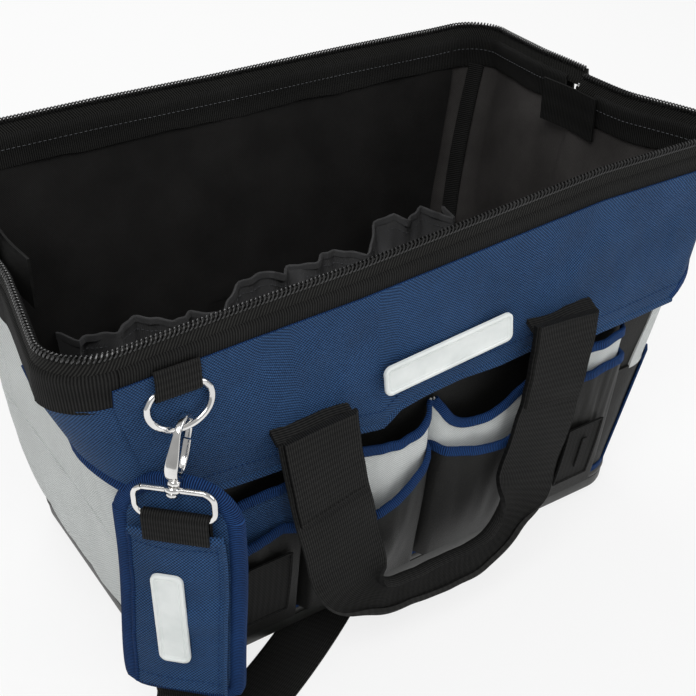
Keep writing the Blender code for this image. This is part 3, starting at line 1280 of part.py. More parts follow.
def build_adjuster(finishes, curve, acrosses):
    """Flat sliding adjuster lying on the outer face of the rising strap."""
    index = min(range(len(curve)), key=lambda i: abs(curve[i].z - ADJUSTER_HEIGHT))
    along = tangents(curve)[index]
    across = (acrosses[index] - along * acrosses[index].dot(along)).normalized()
    out = across.cross(along)
    if out.dot(Vector((1, 1, 0))) < 0:
        out = -out
        across = -across
    centre = curve[index] + out * (WEB_THICKNESS / 2 + 1.5 * CLEARANCE)
    outer = rounded_outline(ADJUSTER_HALF_WIDTH, ADJUSTER_HALF_HEIGHT, ADJUSTER_BORDER, 3)
    half_w = ADJUSTER_HALF_WIDTH - ADJUSTER_BORDER
    bar = ADJUSTER_BORDER / 2
    top = ADJUSTER_HALF_HEIGHT - ADJUSTER_BORDER
    base = [centre + across * a + along * b for a, b in outer]
    plate = loft([base, [p + out * ADJUSTER_THICKNESS for p in base]])
    frame = add_piece("strap_adjuster", plate, finishes["tray"], smooth=False)
    for tag, low, high in (("upper", bar, top), ("lower", -top, -bar)):
        corners = [(-half_w, low), (half_w, low), (half_w, high), (-half_w, high)]
        ring = [centre + across * a + along * b - out * ADJUSTER_THICKNESS for a, b in corners]
        window = loft([ring, [p + out * 3 * ADJUSTER_THICKNESS for p in ring]])
        cutter = add_piece(f"adjuster_window_{tag}", window, finishes["tray"], smooth=False)
        cutter.hide_render = True
        cutter.display_type = "WIRE"
        cut = frame.modifiers.new(tag, "BOOLEAN")
        cut.operation = "DIFFERENCE"
        cut.object = cutter
    return frame


def build_bag():
    """Builds every piece, the fixed body first."""
    finishes = make_finishes()
    build_tray(finishes)
    build_board(finishes)
    build_lower_walls(finishes)
    build_gusset(-1, "end_gusset_left", finishes)
    build_gusset(1, "end_gusset_right", finishes)
    build_pockets(finishes)
    build_patches(finishes)
    for side, tag in ((FRONT, "front"), (REAR, "rear")):
        wall = pivot(f"{tag}_wall_axis", (0, side * FOLD_Y, FOLD_HEIGHT))
        build_upper_wall(side, f"upper_wall_{tag}", finishes, wall)
        build_rim_tape(side, f"rim_tape_{tag}", finishes, wall)
        bar = pivot(f"{tag}_bar_axis", (0, side * MOUTH_HALF_WIDTH, BAR_HEIGHT), wall)
        build_frame(side, f"mouth_frame_{tag}", finishes, bar)
        build_end_tape(side, -1, f"end_tape_{tag}_left", finishes, bar)
        build_end_tape(side, 1, f"end_tape_{tag}_right", finishes, bar)
        build_zip(side, f"zip_half_{tag}", finishes, bar)
        for x, hand in ((HANDLE_LEFT_X, "left"), (HANDLE_RIGHT_X, "right")):
            build_anchor(side, x, f"handle_anchor_{tag}_{hand}", finishes, wall)
        grip = pivot(f"{tag}_handle_axis", (0, side * HANDLE_PLANE, HANDLE_TOP), wall)
        build_handle(side, f"handle_{tag}", finishes, grip)
        build_tab(side, f"dring_tab_{tag}", finishes, wall)
        ring = pivot(f"{tag}_ring_axis", turned(side, (RING_X, RING_Y, RING_BAR_HEIGHT)), wall)
        build_dring(side, f"dring_{tag}", finishes, ring)
        hook = pivot(f"{tag}_hook_axis", turned(side, hook_place(0, 0, 0)), ring)
        build_hook(side, f"hook_{tag}", finishes, hook)
        gate = pivot(f"{tag}_gate_axis", turned(side, gate_axis()), hook)
        build_gate(side, f"hook_gate_{tag}", finishes, gate)
        loop = pivot(f"{tag}_loop_axis", turned(side, loop_frame()[0]), hook)
        build_loop(side, f"swivel_loop_{tag}", finishes, loop)
        build_loop_webbing(side, "pad_webbing" if side == FRONT else "strap_end_rear", finishes, loop)
        if side == FRONT:
            build_label(finishes, wall)
            for sign, hand in ((-1, "left"), (1, "right")):
                build_rivet(sign, f"frame_rivet_{hand}", finishes, bar)
            build_slider(finishes, bar)
            pull_place = (-arm_x_at(FRONT, -1, SLIDER_AT) - TAPE_OUTER - 3 * CLEARANCE - PULL_THICKNESS / 2,
                          SLIDER_AT, BAR_HEIGHT + ZIP_HEIGHT - ZIP_COIL_HEIGHT)
            build_pull(finishes, pivot("pull_axis", pull_place, bar), pull_place)
    build_pad(finishes)
    build_pad_label(finishes)
    build_strap_run(finishes)
    curve, acrosses = build_strap_rear(finishes)
    build_adjuster(finishes, curve, acrosses)


for old in list(bpy.data.objects):
    bpy.data.objects.remove(old, do_unlink=True)
build_bag()
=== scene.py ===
"""Open gate-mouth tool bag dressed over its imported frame.

Metres throughout. The origin is the middle of the underside, +X runs to the right along the mouth, the
front face looks along -Y and +Z is up. Every soft piece is a surface worked out on a grid with numpy.
"""

import logging
import math
from dataclasses import dataclass, field
from enum import Enum

import bpy
import numpy as np
from mathutils import Matrix, Vector


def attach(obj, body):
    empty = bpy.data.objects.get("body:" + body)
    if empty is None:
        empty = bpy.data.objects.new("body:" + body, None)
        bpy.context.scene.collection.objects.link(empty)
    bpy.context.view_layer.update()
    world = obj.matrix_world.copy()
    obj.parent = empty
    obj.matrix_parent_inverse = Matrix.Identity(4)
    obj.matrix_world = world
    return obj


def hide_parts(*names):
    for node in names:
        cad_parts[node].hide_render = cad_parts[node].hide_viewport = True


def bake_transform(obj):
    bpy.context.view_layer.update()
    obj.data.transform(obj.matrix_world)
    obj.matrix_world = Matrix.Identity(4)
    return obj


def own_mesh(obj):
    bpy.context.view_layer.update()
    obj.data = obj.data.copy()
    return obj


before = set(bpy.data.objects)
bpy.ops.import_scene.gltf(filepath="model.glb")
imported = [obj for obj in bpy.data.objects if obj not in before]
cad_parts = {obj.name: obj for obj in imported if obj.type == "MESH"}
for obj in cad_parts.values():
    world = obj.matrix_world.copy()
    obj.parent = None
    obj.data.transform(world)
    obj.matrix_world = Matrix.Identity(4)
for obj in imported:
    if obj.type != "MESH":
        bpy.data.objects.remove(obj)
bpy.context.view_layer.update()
LOG = logging.getLogger("tool_bag")

# Heights from the ground: tray's lip, foot of the pockets, end of the stiff box, gussets and steel bars.
TRAY_TOP = 0.018
POCKET_FOOT = 0.0235
FOLD_Z = 0.114
GUSSET_LOW = 0.1120
GUSSET_TOP = 0.2500
BAR_Z = 0.266
# Half widths of the box at the tray and of the mouth at the bars, and how the walls lean between them.
BASE_X = 0.1825
BASE_Y = 0.105
MOUTH_Y = 0.140
LEAN_X = 0.1623
LEAN_Y = (MOUTH_Y - BASE_Y) / (BAR_Z - TRAY_TOP)
LEAN = math.atan(LEAN_Y)
FOLD_Y = BASE_Y + LEAN_Y * (FOLD_Z - TRAY_TOP)
WALL = 0.004
CORNER = 0.028
# Arms of the half frames: reach of the outer and the inner one, taper, straight part and length.
OUTER_ARM = 0.233
INNER_ARM = 0.2225
ARM_TAPER = 0.010
ARM_STRAIGHT = 0.050
ARM_REACH = MOUTH_Y - CORNER
# Rivets: distance of the eyes' middle from the centre, and of each eye from that middle.
EYE_X = 0.2173
EYE_STEP = 0.0022

RIGHT = np.array([1.0, 0, 0])
BACK = np.array([0, 1.0, 0])
UP = np.array([0, 0, 1.0])


class Side(Enum):
    """One of the bag's two long sides; the value is the sign of Y."""

    FRONT = -1
    REAR = 1

    @property
    def tag(self) -> str:
        """The side's name in lower case."""
        return self.name.lower()


def outermost(side: Side, sign: int) -> bool:
    """Whether a side's arm at one end is the outer of the two arms that meet there."""
    return side.value * sign > 0


def arm_reach(side: Side, sign: int) -> float:
    """Distance of an arm's corner from the middle; sign tells the end, -1 for the left one."""
    return OUTER_ARM if outermost(side, sign) else INNER_ARM


def eye_reach(side: Side, sign: int) -> float:
    """Distance of an arm's eye from the middle; sign tells the end, -1 for the left one."""
    return EYE_X + EYE_STEP * (1 if outermost(side, sign) else -1)


# Arrays and curves

def unit(v: np.ndarray) -> np.ndarray:
    """Vectors divided by their own lengths along the last axis."""
    return v / np.maximum(np.linalg.norm(v, axis=-1, keepdims=True), 1e-12)


def ease(t: np.ndarray | float) -> np.ndarray:
    """Smooth rise from 0 to 1: three t squared less two t cubed, t held between 0 and 1."""
    t = np.clip(t, 0.0, 1.0)
    return t * t * (3 - 2 * t)


def side_y(z: np.ndarray | float) -> np.ndarray | float:
    """Distance of a long wall's middle plane from the centre: it grows in a straight line with height."""
    return BASE_Y + LEAN_Y * (z - TRAY_TOP)


def end_x(z: np.ndarray | float) -> np.ndarray | float:
    """Distance of an end wall's middle plane from the centre: it grows in a straight line with height."""
    return BASE_X + LEAN_X * (z - TRAY_TOP)


def ripple(u: np.ndarray, v: np.ndarray, size: float, seed: int) -> np.ndarray:
    """Soft unevenness between about -1 and 1: a sum of seven sines of random heading and phase.

    Args:
        u, v: Coordinates in metres.
        size: Length of the longest wave in metres.
        seed: Picks the headings and phases.

    Returns:
        Array of the same shape as u.
    """
    rng = np.random.default_rng(seed)
    heading = rng.uniform(0, 2 * np.pi, 7)
    phase = rng.uniform(0, 2 * np.pi, 7)
    wave = 2 * np.pi / size * np.array([1, 1.3, 1.7, 2.1, 2.7, 3.3, 4.1])
    share = np.array([1, 0.8, 0.6, 0.5, 0.35, 0.25, 0.2]) / 2.2
    total = np.zeros(np.broadcast(u, v).shape)
    for w, h, p, s in zip(wave, heading, phase, share):
        total = total + s * np.sin(w * (u * np.cos(h) + v * np.sin(h)) + p)
    return total


def curve(points: list | np.ndarray, count: int, closed: bool = False) -> np.ndarray:
    """Smooth curve through points, evenly spaced by length.

    Each span is the cubic whose slope at a point is half the step between its neighbours; the curve is
    then sampled at equal steps of its own length.

    Args:
        points: Points of two or three coordinates.
        count: Number of samples.
        closed: Whether the last point runs on to the first.

    Returns:
        Array of count points.
    """
    p = np.asarray(points, float)
    if closed:
        padded = np.concatenate([p[-1:], p, p[:2]])
    else:
        padded = np.concatenate([2 * p[:1] - p[1:2], p, 2 * p[-1:] - p[-2:-1]])
    spans = len(padded) - 3
    t = np.linspace(0, spans, spans * 24 + 1)
    i = np.minimum(t.astype(int), spans - 1)
    f = (t - i)[:, None]
    a, b, c, d = padded[i], padded[i + 1], padded[i + 2], padded[i + 3]
    fine = 0.5 * (2 * b + (c - a) * f + (2 * a - 5 * b + 4 * c - d) * f ** 2
                  + (3 * b - a - 3 * c + d) * f ** 3)
    return even(fine, count, closed)


def even(path: np.ndarray, count: int, closed: bool = False) -> np.ndarray:
    """A path sampled again at equal steps of its length; a closed one leaves out its repeated end.

    Args:
        path: Points of the path.
        count: Number of points.
        closed: Whether the path's last point is its first again.

    Returns:
        Array of count points.
    """
    run = lengths(path)
    at = np.linspace(0, run[-1], count, endpoint=not closed)
    return sample(at, run, path)


def sample(at: np.ndarray, run: np.ndarray, values: np.ndarray) -> np.ndarray:
    """Values read between rows.

    Args:
        at: Where to read, of any shape.
        run: Place of each row, rising.
        values: One row per place.

    Returns:
        Array of at's shape with one more axis for the columns.
    """
    return np.stack([np.interp(at, run, values[:, k]) for k in range(values.shape[1])], axis=-1)


def at_height(plan: np.ndarray, z: np.ndarray | float) -> np.ndarray:
    """Plan points with a height added, one for all or one per point."""
    return np.concatenate([plan, np.broadcast_to(z, len(plan))[:, None]], 1)


def lengths(path: np.ndarray) -> np.ndarray:
    """Length run from a path's start to each of its points."""
    return np.concatenate([[0.0], np.cumsum(np.linalg.norm(np.diff(path, axis=0), axis=1))])


def headings(path: np.ndarray, closed: bool = False) -> np.ndarray:
    """Unit direction at each point of a path, from its neighbours on both sides.

    Args:
        path: Points of the path.
        closed: Whether the last point runs on to the first.

    Returns:
        One unit vector per point.
    """
    if closed:
        return unit(np.roll(path, -1, axis=0) - np.roll(path, 1, axis=0))
    return unit(np.gradient(path, axis=0))


def square_to(across: np.ndarray, along: np.ndarray) -> np.ndarray:
    """Across vectors with their part along the path taken away, at unit length.

    Args:
        across: One vector for all or one per direction.
        along: Unit directions of the path.

    Returns:
        Array of along's shape.
    """
    across = np.broadcast_to(np.asarray(across, float), along.shape)
    return unit(across - along * (across * along).sum(-1, keepdims=True))


def rounded(half_a: float, half_b: float, radius: float, steps: int = 5) -> np.ndarray:
    """Rounded rectangle as points in order, turning from the first axis to the second.

    Each corner is a quarter circle of the radius about a centre that lies one radius inside both sides.

    Args:
        half_a, half_b: Half sizes.
        radius: Corner radius.
        steps: Steps per corner.

    Returns:
        Array of four times steps + 1 points.
    """
    turn = np.radians(np.linspace(0, 90, steps + 1))
    parts = []
    for sa, sb, start in ((1, 1, 0), (-1, 1, 90), (-1, -1, 180), (1, -1, 270)):
        angle = turn + math.radians(start)
        parts.append(np.stack([sa * (half_a - radius) + radius * np.cos(angle),
                               sb * (half_b - radius) + radius * np.sin(angle)], axis=1))
    return np.concatenate(parts)


def wall_point(side: Side, x: np.ndarray, along: np.ndarray, out: np.ndarray | float) -> np.ndarray:
    """Points on a long wall.

    Args:
        side: Which of the two walls.
        x: Place along the bag.
        along: Distance up the leaning wall from the fold.
        out: Distance away from the bag.

    Returns:
        Array of the arguments' common shape by three.
    """
    y = FOLD_Y + along * math.sin(LEAN) + out * math.cos(LEAN)
    z = FOLD_Z + along * math.cos(LEAN) - out * math.sin(LEAN)
    x, y, z = np.broadcast_arrays(x, side.value * y, z)
    return np.stack([x, y, z], axis=-1)


def rim_lift(points: np.ndarray) -> np.ndarray:
    """Points with the rim's rise and fall added to their height.

    The front rim sits low at its left end and high right of its middle, the rear rim is nearly level; the
    shift fades to nothing towards the arms' middle and below the upper panels.

    Args:
        points: Points of any shape, the last axis being x, y and z.

    Returns:
        The raised points.
    """
    x, y, z = points[..., 0], points[..., 1], points[..., 2]
    front = np.interp(x, [-0.215, -0.139, -0.066, 0.012, 0.103, 0.180, 0.233],
                      [-0.0080, -0.0050, -0.0030, 0.0020, 0.0080, 0.0070, 0.0030])
    rear = np.interp(x, [-0.220, -0.094, -0.005, 0.103, 0.186], [0.003, 0.002, 0.0, -0.001, -0.003])
    near = ease((-y - 0.03) / 0.09) * front + ease((y - 0.03) / 0.09) * rear
    raised = points.copy()
    raised[..., 2] += near * ease((z - 0.150) / 0.100)
    return raised


# Meshes

def make(name: str, points: np.ndarray, faces: list, uv: list, materials: list, slots: list,
         sharp: float = 40.0) -> bpy.types.Object:
    """An object at the origin from points and faces, turned outwards by the sign of its volume.

    Args:
        name: Object's name.
        points: All points, one row each.
        faces: Arrays of faces, each array with one face size.
        uv: Arrays of the faces' corner coordinates in metres, matching faces.
        materials: Materials in slot order.
        slots: Slot number of each array of faces.
        sharp: Angle in degrees above which an edge stays sharp.

    Returns:
        The new object.
    """
    volume = 0.0
    for block in faces:
        a = points[block[:, 0]]
        for k in range(1, block.shape[1] - 1):
            volume += np.einsum("ij,ij->", a, np.cross(points[block[:, k]], points[block[:, k + 1]]))
    if volume < 0:
        faces = [block[:, ::-1] for block in faces]
        uv = [corner[:, ::-1] for corner in uv]
    mesh = bpy.data.meshes.new(name)
    listed = [row for block in faces for row in block.tolist()]
    mesh.from_pydata(points.tolist(), [], listed)
    layer = mesh.uv_layers.new(name="cloth")
    layer.data.foreach_set("uv", np.concatenate([c.reshape(-1) for c in uv]).astype(np.float32))
    index = np.concatenate([np.full(len(block), slot) for block, slot in zip(faces, slots)])
    for material in materials:
        mesh.materials.append(material)
    mesh.polygons.foreach_set("material_index", index.astype(np.int32))
    mesh.update()
    mesh.validate()
    mesh.shade_smooth()
    mesh.set_sharp_from_angle(angle=math.radians(sharp))
    obj = bpy.data.objects.new(name, mesh)
    bpy.context.scene.collection.objects.link(obj)
    return obj


def quads(rows: int, cols: int, wrap_rows: bool = False,
          wrap_cols: bool = False) -> tuple[np.ndarray, np.ndarray, np.ndarray]:
    """Faces of a grid of points.

    Args:
        rows, cols: Size of the grid.
        wrap_rows, wrap_cols: Whether the last row or column joins the first.

    Returns:
        Four point numbers per face, and the row and the column of each face's first point as grids.
    """
    i, j = np.meshgrid(np.arange(rows if wrap_rows else rows - 1), np.arange(cols if wrap_cols else cols - 1),
                       indexing="ij")
    ahead, beside = (i + 1) % rows, (j + 1) % cols
    block = np.stack([i * cols + j, i * cols + beside, ahead * cols + beside, ahead * cols + j], axis=-1)
    return block.reshape(-1, 4), i, j


@dataclass
class Patchwork:
    """Gathers several surfaces into one mesh, each with its own slot."""

    name: str
    materials: list
    points: list = field(default_factory=list)
    faces: list = field(default_factory=list)
    uv: list = field(default_factory=list)
    slots: list = field(default_factory=list)
    total: int = 0

    def add(self, points: np.ndarray, faces: list, uv: list, slots: list) -> None:
        """Appends points and the faces that use them.

        Args:
            points: Rows of points.
            faces: Arrays of faces, numbered from these points.
            uv: Coordinates of the faces' corners.
            slots: Slot of each array.
        """
        self.points.append(points)
        self.faces += [block + self.total for block in faces]
        self.uv += uv
        self.slots += slots
        self.total += len(points)

    def tube(self, grid: np.ndarray, slot: int = 0, closed: bool = False,
             across: float | None = None) -> None:
        """A closed section carried along a path.

        Args:
            grid: Array of stations by section points by three.
            slot: Slot number.
            closed: Whether the last station joins the first; otherwise both ends are capped.
            across: Width given to the section in the coordinates, in place of its own length.
        """
        rows, cols = grid.shape[:2]
        block, i, j = quads(rows, cols, wrap_rows=closed, wrap_cols=True)
        middle = grid.mean(axis=1)
        run = lengths(np.concatenate([middle, middle[:1]]))
        turn = lengths(np.concatenate([grid[rows // 2], grid[rows // 2][:1]]))
        if across is not None:
            turn = turn * across / turn[-1]
        corner = np.stack([np.stack([run[i], turn[j]], -1), np.stack([run[i], turn[j + 1]], -1),
                           np.stack([run[i + 1], turn[j + 1]], -1), np.stack([run[i + 1], turn[j]], -1)],
                          axis=2).reshape(-1, 4, 2)
        faces, uv, slots = [block], [corner], [slot]
        if not closed:
            for cap in (np.arange(cols)[::-1], np.arange(cols) + (rows - 1) * cols):
                flat = grid.reshape(-1, 3)[cap]
                faces.append(cap[None])
                uv.append((flat[:, :2] - flat[0, :2])[None])
                slots.append(slot)
        self.add(grid.reshape(-1, 3), faces, uv, slots)

    def sheet(self, grid: np.ndarray, thick: float | np.ndarray, uv: np.ndarray | None = None,
              front: int = 0, back: int = 0, edge: int | None = None) -> None:
        """A closed sheet of cloth: a grid moved half its thickness each way along its normals.

        Args:
            grid: Array of rows by columns by three, the middle surface.
            thick: Thickness, a number or one per grid point.
            uv: Coordinates in metres per grid point; by default the lengths run along both ways.
            front: Slot of the face on the side of the normal, which is column way cross row way.
            back: Slot of the other face.
            edge: Slot of the rim, by default the front's.
        """
        rows, cols = grid.shape[:2]
        normal = grid_normals(grid)
        half = np.broadcast_to(np.asarray(thick, float) / 2, (rows, cols))[..., None]
        both = np.concatenate([(grid + normal * half).reshape(-1, 3), (grid - normal * half).reshape(-1, 3)])
        if uv is None:
            down = np.stack([lengths(grid[:, k]) for k in range(cols)], axis=1)
            right = np.stack([lengths(grid[k]) for k in range(rows)], axis=0)
            uv = np.stack([right, down], axis=-1)
        flat = uv.reshape(-1, 2)
        top = quads(rows, cols)[0]
        count = rows * cols
        bottom = top[:, ::-1] + count
        ring = np.concatenate([np.arange(cols), np.arange(1, rows) * cols + cols - 1,
                               (rows - 1) * cols + np.arange(cols - 1)[::-1],
                               np.arange(1, rows - 1)[::-1] * cols])
        after = np.roll(ring, -1)
        rim = np.stack([after, ring, ring + count, after + count], axis=1)
        self.add(both, [top, bottom, rim], [flat[top], flat[bottom % count], flat[rim % count]],
                 [front, back, front if edge is None else edge])

    def build(self, sharp: float = 40.0) -> bpy.types.Object:
        """The finished object; edges above the angle in degrees stay sharp."""
        return make(self.name, np.concatenate(self.points), self.faces, self.uv, self.materials, self.slots,
                    sharp)


def grid_normals(grid: np.ndarray) -> np.ndarray:
    """Unit normals of a grid: the slope along its columns cross the slope along its rows."""
    return unit(np.cross(np.gradient(grid, axis=1), np.gradient(grid, axis=0)))


def swept(path: np.ndarray, across: np.ndarray, section: np.ndarray, closed: bool = False) -> np.ndarray:
    """Grid of a flat section carried along a path.

    Every point is the path's point plus the section's first number across and its second along the
    normal, which is the path's direction cross the across direction.

    Args:
        path: Middle line.
        across: Width direction, one for all or one per point.
        section: Points of the section, one set or one per station.
        closed: Whether the path closes on itself.

    Returns:
        Array of stations by section points by three.
    """
    along = headings(path, closed)
    wide = square_to(across, along)
    up = np.cross(along, wide)
    section = np.broadcast_to(section, (len(path),) + section.shape[-2:])
    return path[:, None] + wide[:, None] * section[..., :1] + up[:, None] * section[..., 1:2]


def belt(width: float, thick: float) -> np.ndarray:
    """Section of flat webbing: a rectangle with small round edges, split finely enough to bend.

    Args:
        width, thick: Size of the webbing.

    Returns:
        Points of the section.
    """
    r = thick * 0.42
    a = np.linspace(-width / 2 + r, width / 2 - r, 9)
    right = np.radians(np.linspace(90, -90, 5)[1:-1])
    left = np.radians(np.linspace(-90, -270, 5)[1:-1])
    b = thick / 2
    return np.concatenate([np.stack([a, np.full(9, b)], 1),
                           np.stack([width / 2 - r + r * np.cos(right), b * np.sin(right)], 1),
                           np.stack([a[::-1], np.full(9, -b)], 1),
                           np.stack([-width / 2 + r + r * np.cos(left), b * np.sin(left)], 1)])


def wire(radius: float, sides: int = 12) -> np.ndarray:
    """Section of round wire."""
    turn = np.linspace(0, 2 * np.pi, sides, endpoint=False)
    return np.stack([radius * np.cos(turn), radius * np.sin(turn)], 1)


# Finishes

def linear(code: str) -> tuple[float, float, float, float]:
    """An sRGB hex colour as linear RGBA: the standard curve, straight near black and a 2.4 power above."""
    parts = [int(code[i:i + 2], 16) / 255 for i in (1, 3, 5)]
    return (*[c / 12.92 if c <= 0.04045 else ((c + 0.055) / 1.055) ** 2.4 for c in parts], 1.0)


def plug(tree: bpy.types.NodeTree, target: bpy.types.Node, sockets: dict) -> None:
    """Fills a node's inputs.

    Args:
        tree: Tree of the node.
        target: Node whose inputs are filled.
        sockets: Input name or number to a value or to another node's output.
    """
    for key, value in sockets.items():
        if isinstance(value, bpy.types.NodeSocket):
            tree.links.new(value, target.inputs[key])
        else:
            target.inputs[key].default_value = value


def node(tree: bpy.types.NodeTree, kind: str, sockets: dict | None = None, **settings) -> bpy.types.Node:
    """Adds a node.

    Args:
        tree: Tree that gets it.
        kind: Node type after the common prefix.
        sockets: Input name or number to a value or to another node's output.
        settings: Attributes of the node.

    Returns:
        The node.
    """
    made = tree.nodes.new("ShaderNode" + kind)
    for key, value in settings.items():
        setattr(made, key, value)
    plug(tree, made, sockets or {})
    return made


def blank(name: str) -> tuple[bpy.types.Material, bpy.types.NodeTree, bpy.types.Node]:
    """A new material with its node tree and its surface shader.

    Args:
        name: The material's name.

    Returns:
        Material, tree and shader.
    """
    material = bpy.data.materials.new(name)
    material.use_nodes = True
    return material, material.node_tree, material.node_tree.nodes["Principled BSDF"]


class Weave(Enum):
    """How a cloth's threads stand up."""

    DOTS = "dots"
    RIBS = "ribs"
    CORDS = "cords"
    TWILL = "twill"
    GRAIN = "grain"


@dataclass(frozen=True)
class Cloth:
    """A cloth finish: the yarn's own colour, lighter on the thread crowns as painted highlight and darker in
    the hollows as painted shade, raised where the threads stand.

    Attributes:
        name: What the cloth is.
        crown, hollow: Colours of the raised threads and of the gaps between them.
        crown, hollow: Colours of the raised threads, lightened as painted highlight, and of the gaps between
            them, darkened as painted shade.
        pitch: Spacing of the pattern in metres.
        relief: Height of the threads in metres.
        roughness: Surface roughness.
        mottle: Share by which large soft patches are lighter or darker.
        sheen: Fuzz seen at a low angle.
        gloss: Specular level; matt yarns keep it low.
    """

    name: str
    crown: str
    hollow: str
    weave: Weave
    pitch: float
    relief: float
    roughness: float = 0.8
    mottle: float = 0.16
    sheen: float = 0.0
    gloss: float = 0.12

    def build(self) -> bpy.types.Material:
        """The material; waves along the cloth's own two directions are multiplied into its thread height, and
        the colour follows that height: painted highlight on the crowns, painted shade in the hollows.

        Returns:
            The material.
        """
        material, tree, shader = blank(self.name)
        place = node(tree, "UVMap", uv_map="cloth")
        spot = node(tree, "TexCoord").outputs["Object"]
        wave = 2 * math.pi / self.pitch
        stretch = {Weave.RIBS: (1, 0.12), Weave.CORDS: (0.35, 1)}.get(self.weave, (1, 1))
        slant = math.radians(38) if self.weave is Weave.TWILL else 0
        scaled = node(tree, "Mapping", {"Vector": place.outputs["UV"], "Rotation": (0, 0, slant),
                                        "Scale": (wave * stretch[0], wave * stretch[1], 1.0)})
        sine = node(tree, "VectorMath", {0: scaled.outputs[0]}, operation="SINE")
        first, second = node(tree, "SeparateXYZ", {0: sine.outputs[0]}).outputs[:2]
        if self.weave is Weave.DOTS:
            height = node(tree, "Math", {0: first, 1: second}, operation="MULTIPLY").outputs[0]
        elif self.weave is Weave.RIBS:
            height = node(tree, "Math", {0: second, 1: 0.18, 2: first}, operation="MULTIPLY_ADD").outputs[0]
        elif self.weave is Weave.CORDS:
            height = node(tree, "Math", {0: first, 1: 0.30, 2: second}, operation="MULTIPLY_ADD").outputs[0]
        elif self.weave is Weave.TWILL:
            height = first
        else:
            grain = node(tree, "TexNoise", {"Vector": spot, "Scale": 1 / self.pitch, "Detail": 3.0,
                                            "Roughness": 0.6})
            height = node(tree, "MapRange", {0: grain.outputs["Fac"], 1: 0.3, 2: 0.7, 3: -1.0,
                                             4: 1.0}).outputs[0]
        fray = node(tree, "TexNoise", {"Vector": spot, "Scale": 900.0, "Detail": 2.0})
        rough_height = node(tree, "Math", {0: fray.outputs["Fac"], 1: 0.9, 2: height},
                            operation="MULTIPLY_ADD")
        fac = node(tree, "MapRange", {0: rough_height.outputs[0], 1: -0.35, 2: 1.55})
        # Colour follows thread height: the crown colour is a painted highlight on the raised threads, and the
        # other colour is painted shade in the gaps.
        blend = node(tree, "Mix", {0: fac.outputs[0], 6: linear(self.hollow), 7: linear(self.crown)},
                     data_type="RGBA")
        patch = node(tree, "TexNoise", {"Vector": spot, "Scale": 26.0, "Detail": 4.0, "Roughness": 0.55})
        level = node(tree, "MapRange", {0: patch.outputs["Fac"], 1: 0.3, 2: 0.7, 3: 1 - self.mottle,
                                        4: 1 + self.mottle})
        shade = node(tree, "VectorMath", {0: blend.outputs[2], 3: level.outputs[0]}, operation="SCALE")
        bump = node(tree, "Bump", {"Height": rough_height.outputs[0], "Distance": self.relief,
                                   "Strength": 0.8})
        plug(tree, shader, {"Base Color": shade.outputs[0], "Normal": bump.outputs[0],
                            "Roughness": self.roughness, "Specular IOR Level": self.gloss,
                            "Sheen Weight": self.sheen, "Sheen Roughness": 0.5})
        return material


@dataclass(frozen=True)
class Smooth:
    """A finish without threads: metal, plastic or coating with a fine grain and light wear.

    Attributes:
        name: What the material is.
        colour, worn: Base colour and the colour of its rubbed patches.
        roughness: Middle roughness.
        metallic: 1 for bare or plated metal.
        grain: Size of the grain in metres.
        relief: Height of the grain in metres.
        coat: Weight of a clear coat.
    """

    name: str
    colour: str
    worn: str
    roughness: float
    metallic: float = 0.0
    grain: float = 0.0012
    relief: float = 0.00003
    coat: float = 0.0

    def build(self) -> bpy.types.Material:
        """The material; noise at the grain's size lifts the surface and slightly varies its roughness.

        Returns:
            The material.
        """
        material, tree, shader = blank(self.name)
        spot = node(tree, "TexCoord").outputs["Object"]
        grain = node(tree, "TexNoise", {"Vector": spot, "Scale": 1 / self.grain, "Detail": 3.0})
        wear = node(tree, "TexNoise", {"Vector": spot, "Scale": 60.0, "Detail": 5.0})
        fac = node(tree, "MapRange", {0: wear.outputs["Fac"], 1: 0.42, 2: 0.72})
        blend = node(tree, "Mix", {0: fac.outputs[0], 6: linear(self.colour), 7: linear(self.worn)},
                     data_type="RGBA")
        rough = node(tree, "MapRange", {0: grain.outputs["Fac"], 1: 0.2, 2: 0.8, 3: self.roughness * 0.85,
                                        4: min(self.roughness * 1.2, 1.0)})
        bump = node(tree, "Bump", {"Height": grain.outputs["Fac"], "Distance": self.relief, "Strength": 0.5})
        plug(tree, shader, {"Base Color": blend.outputs[2], "Roughness": rough.outputs[0],
                            "Normal": bump.outputs[0], "Metallic": self.metallic, "Coat Weight": self.coat})
        return material


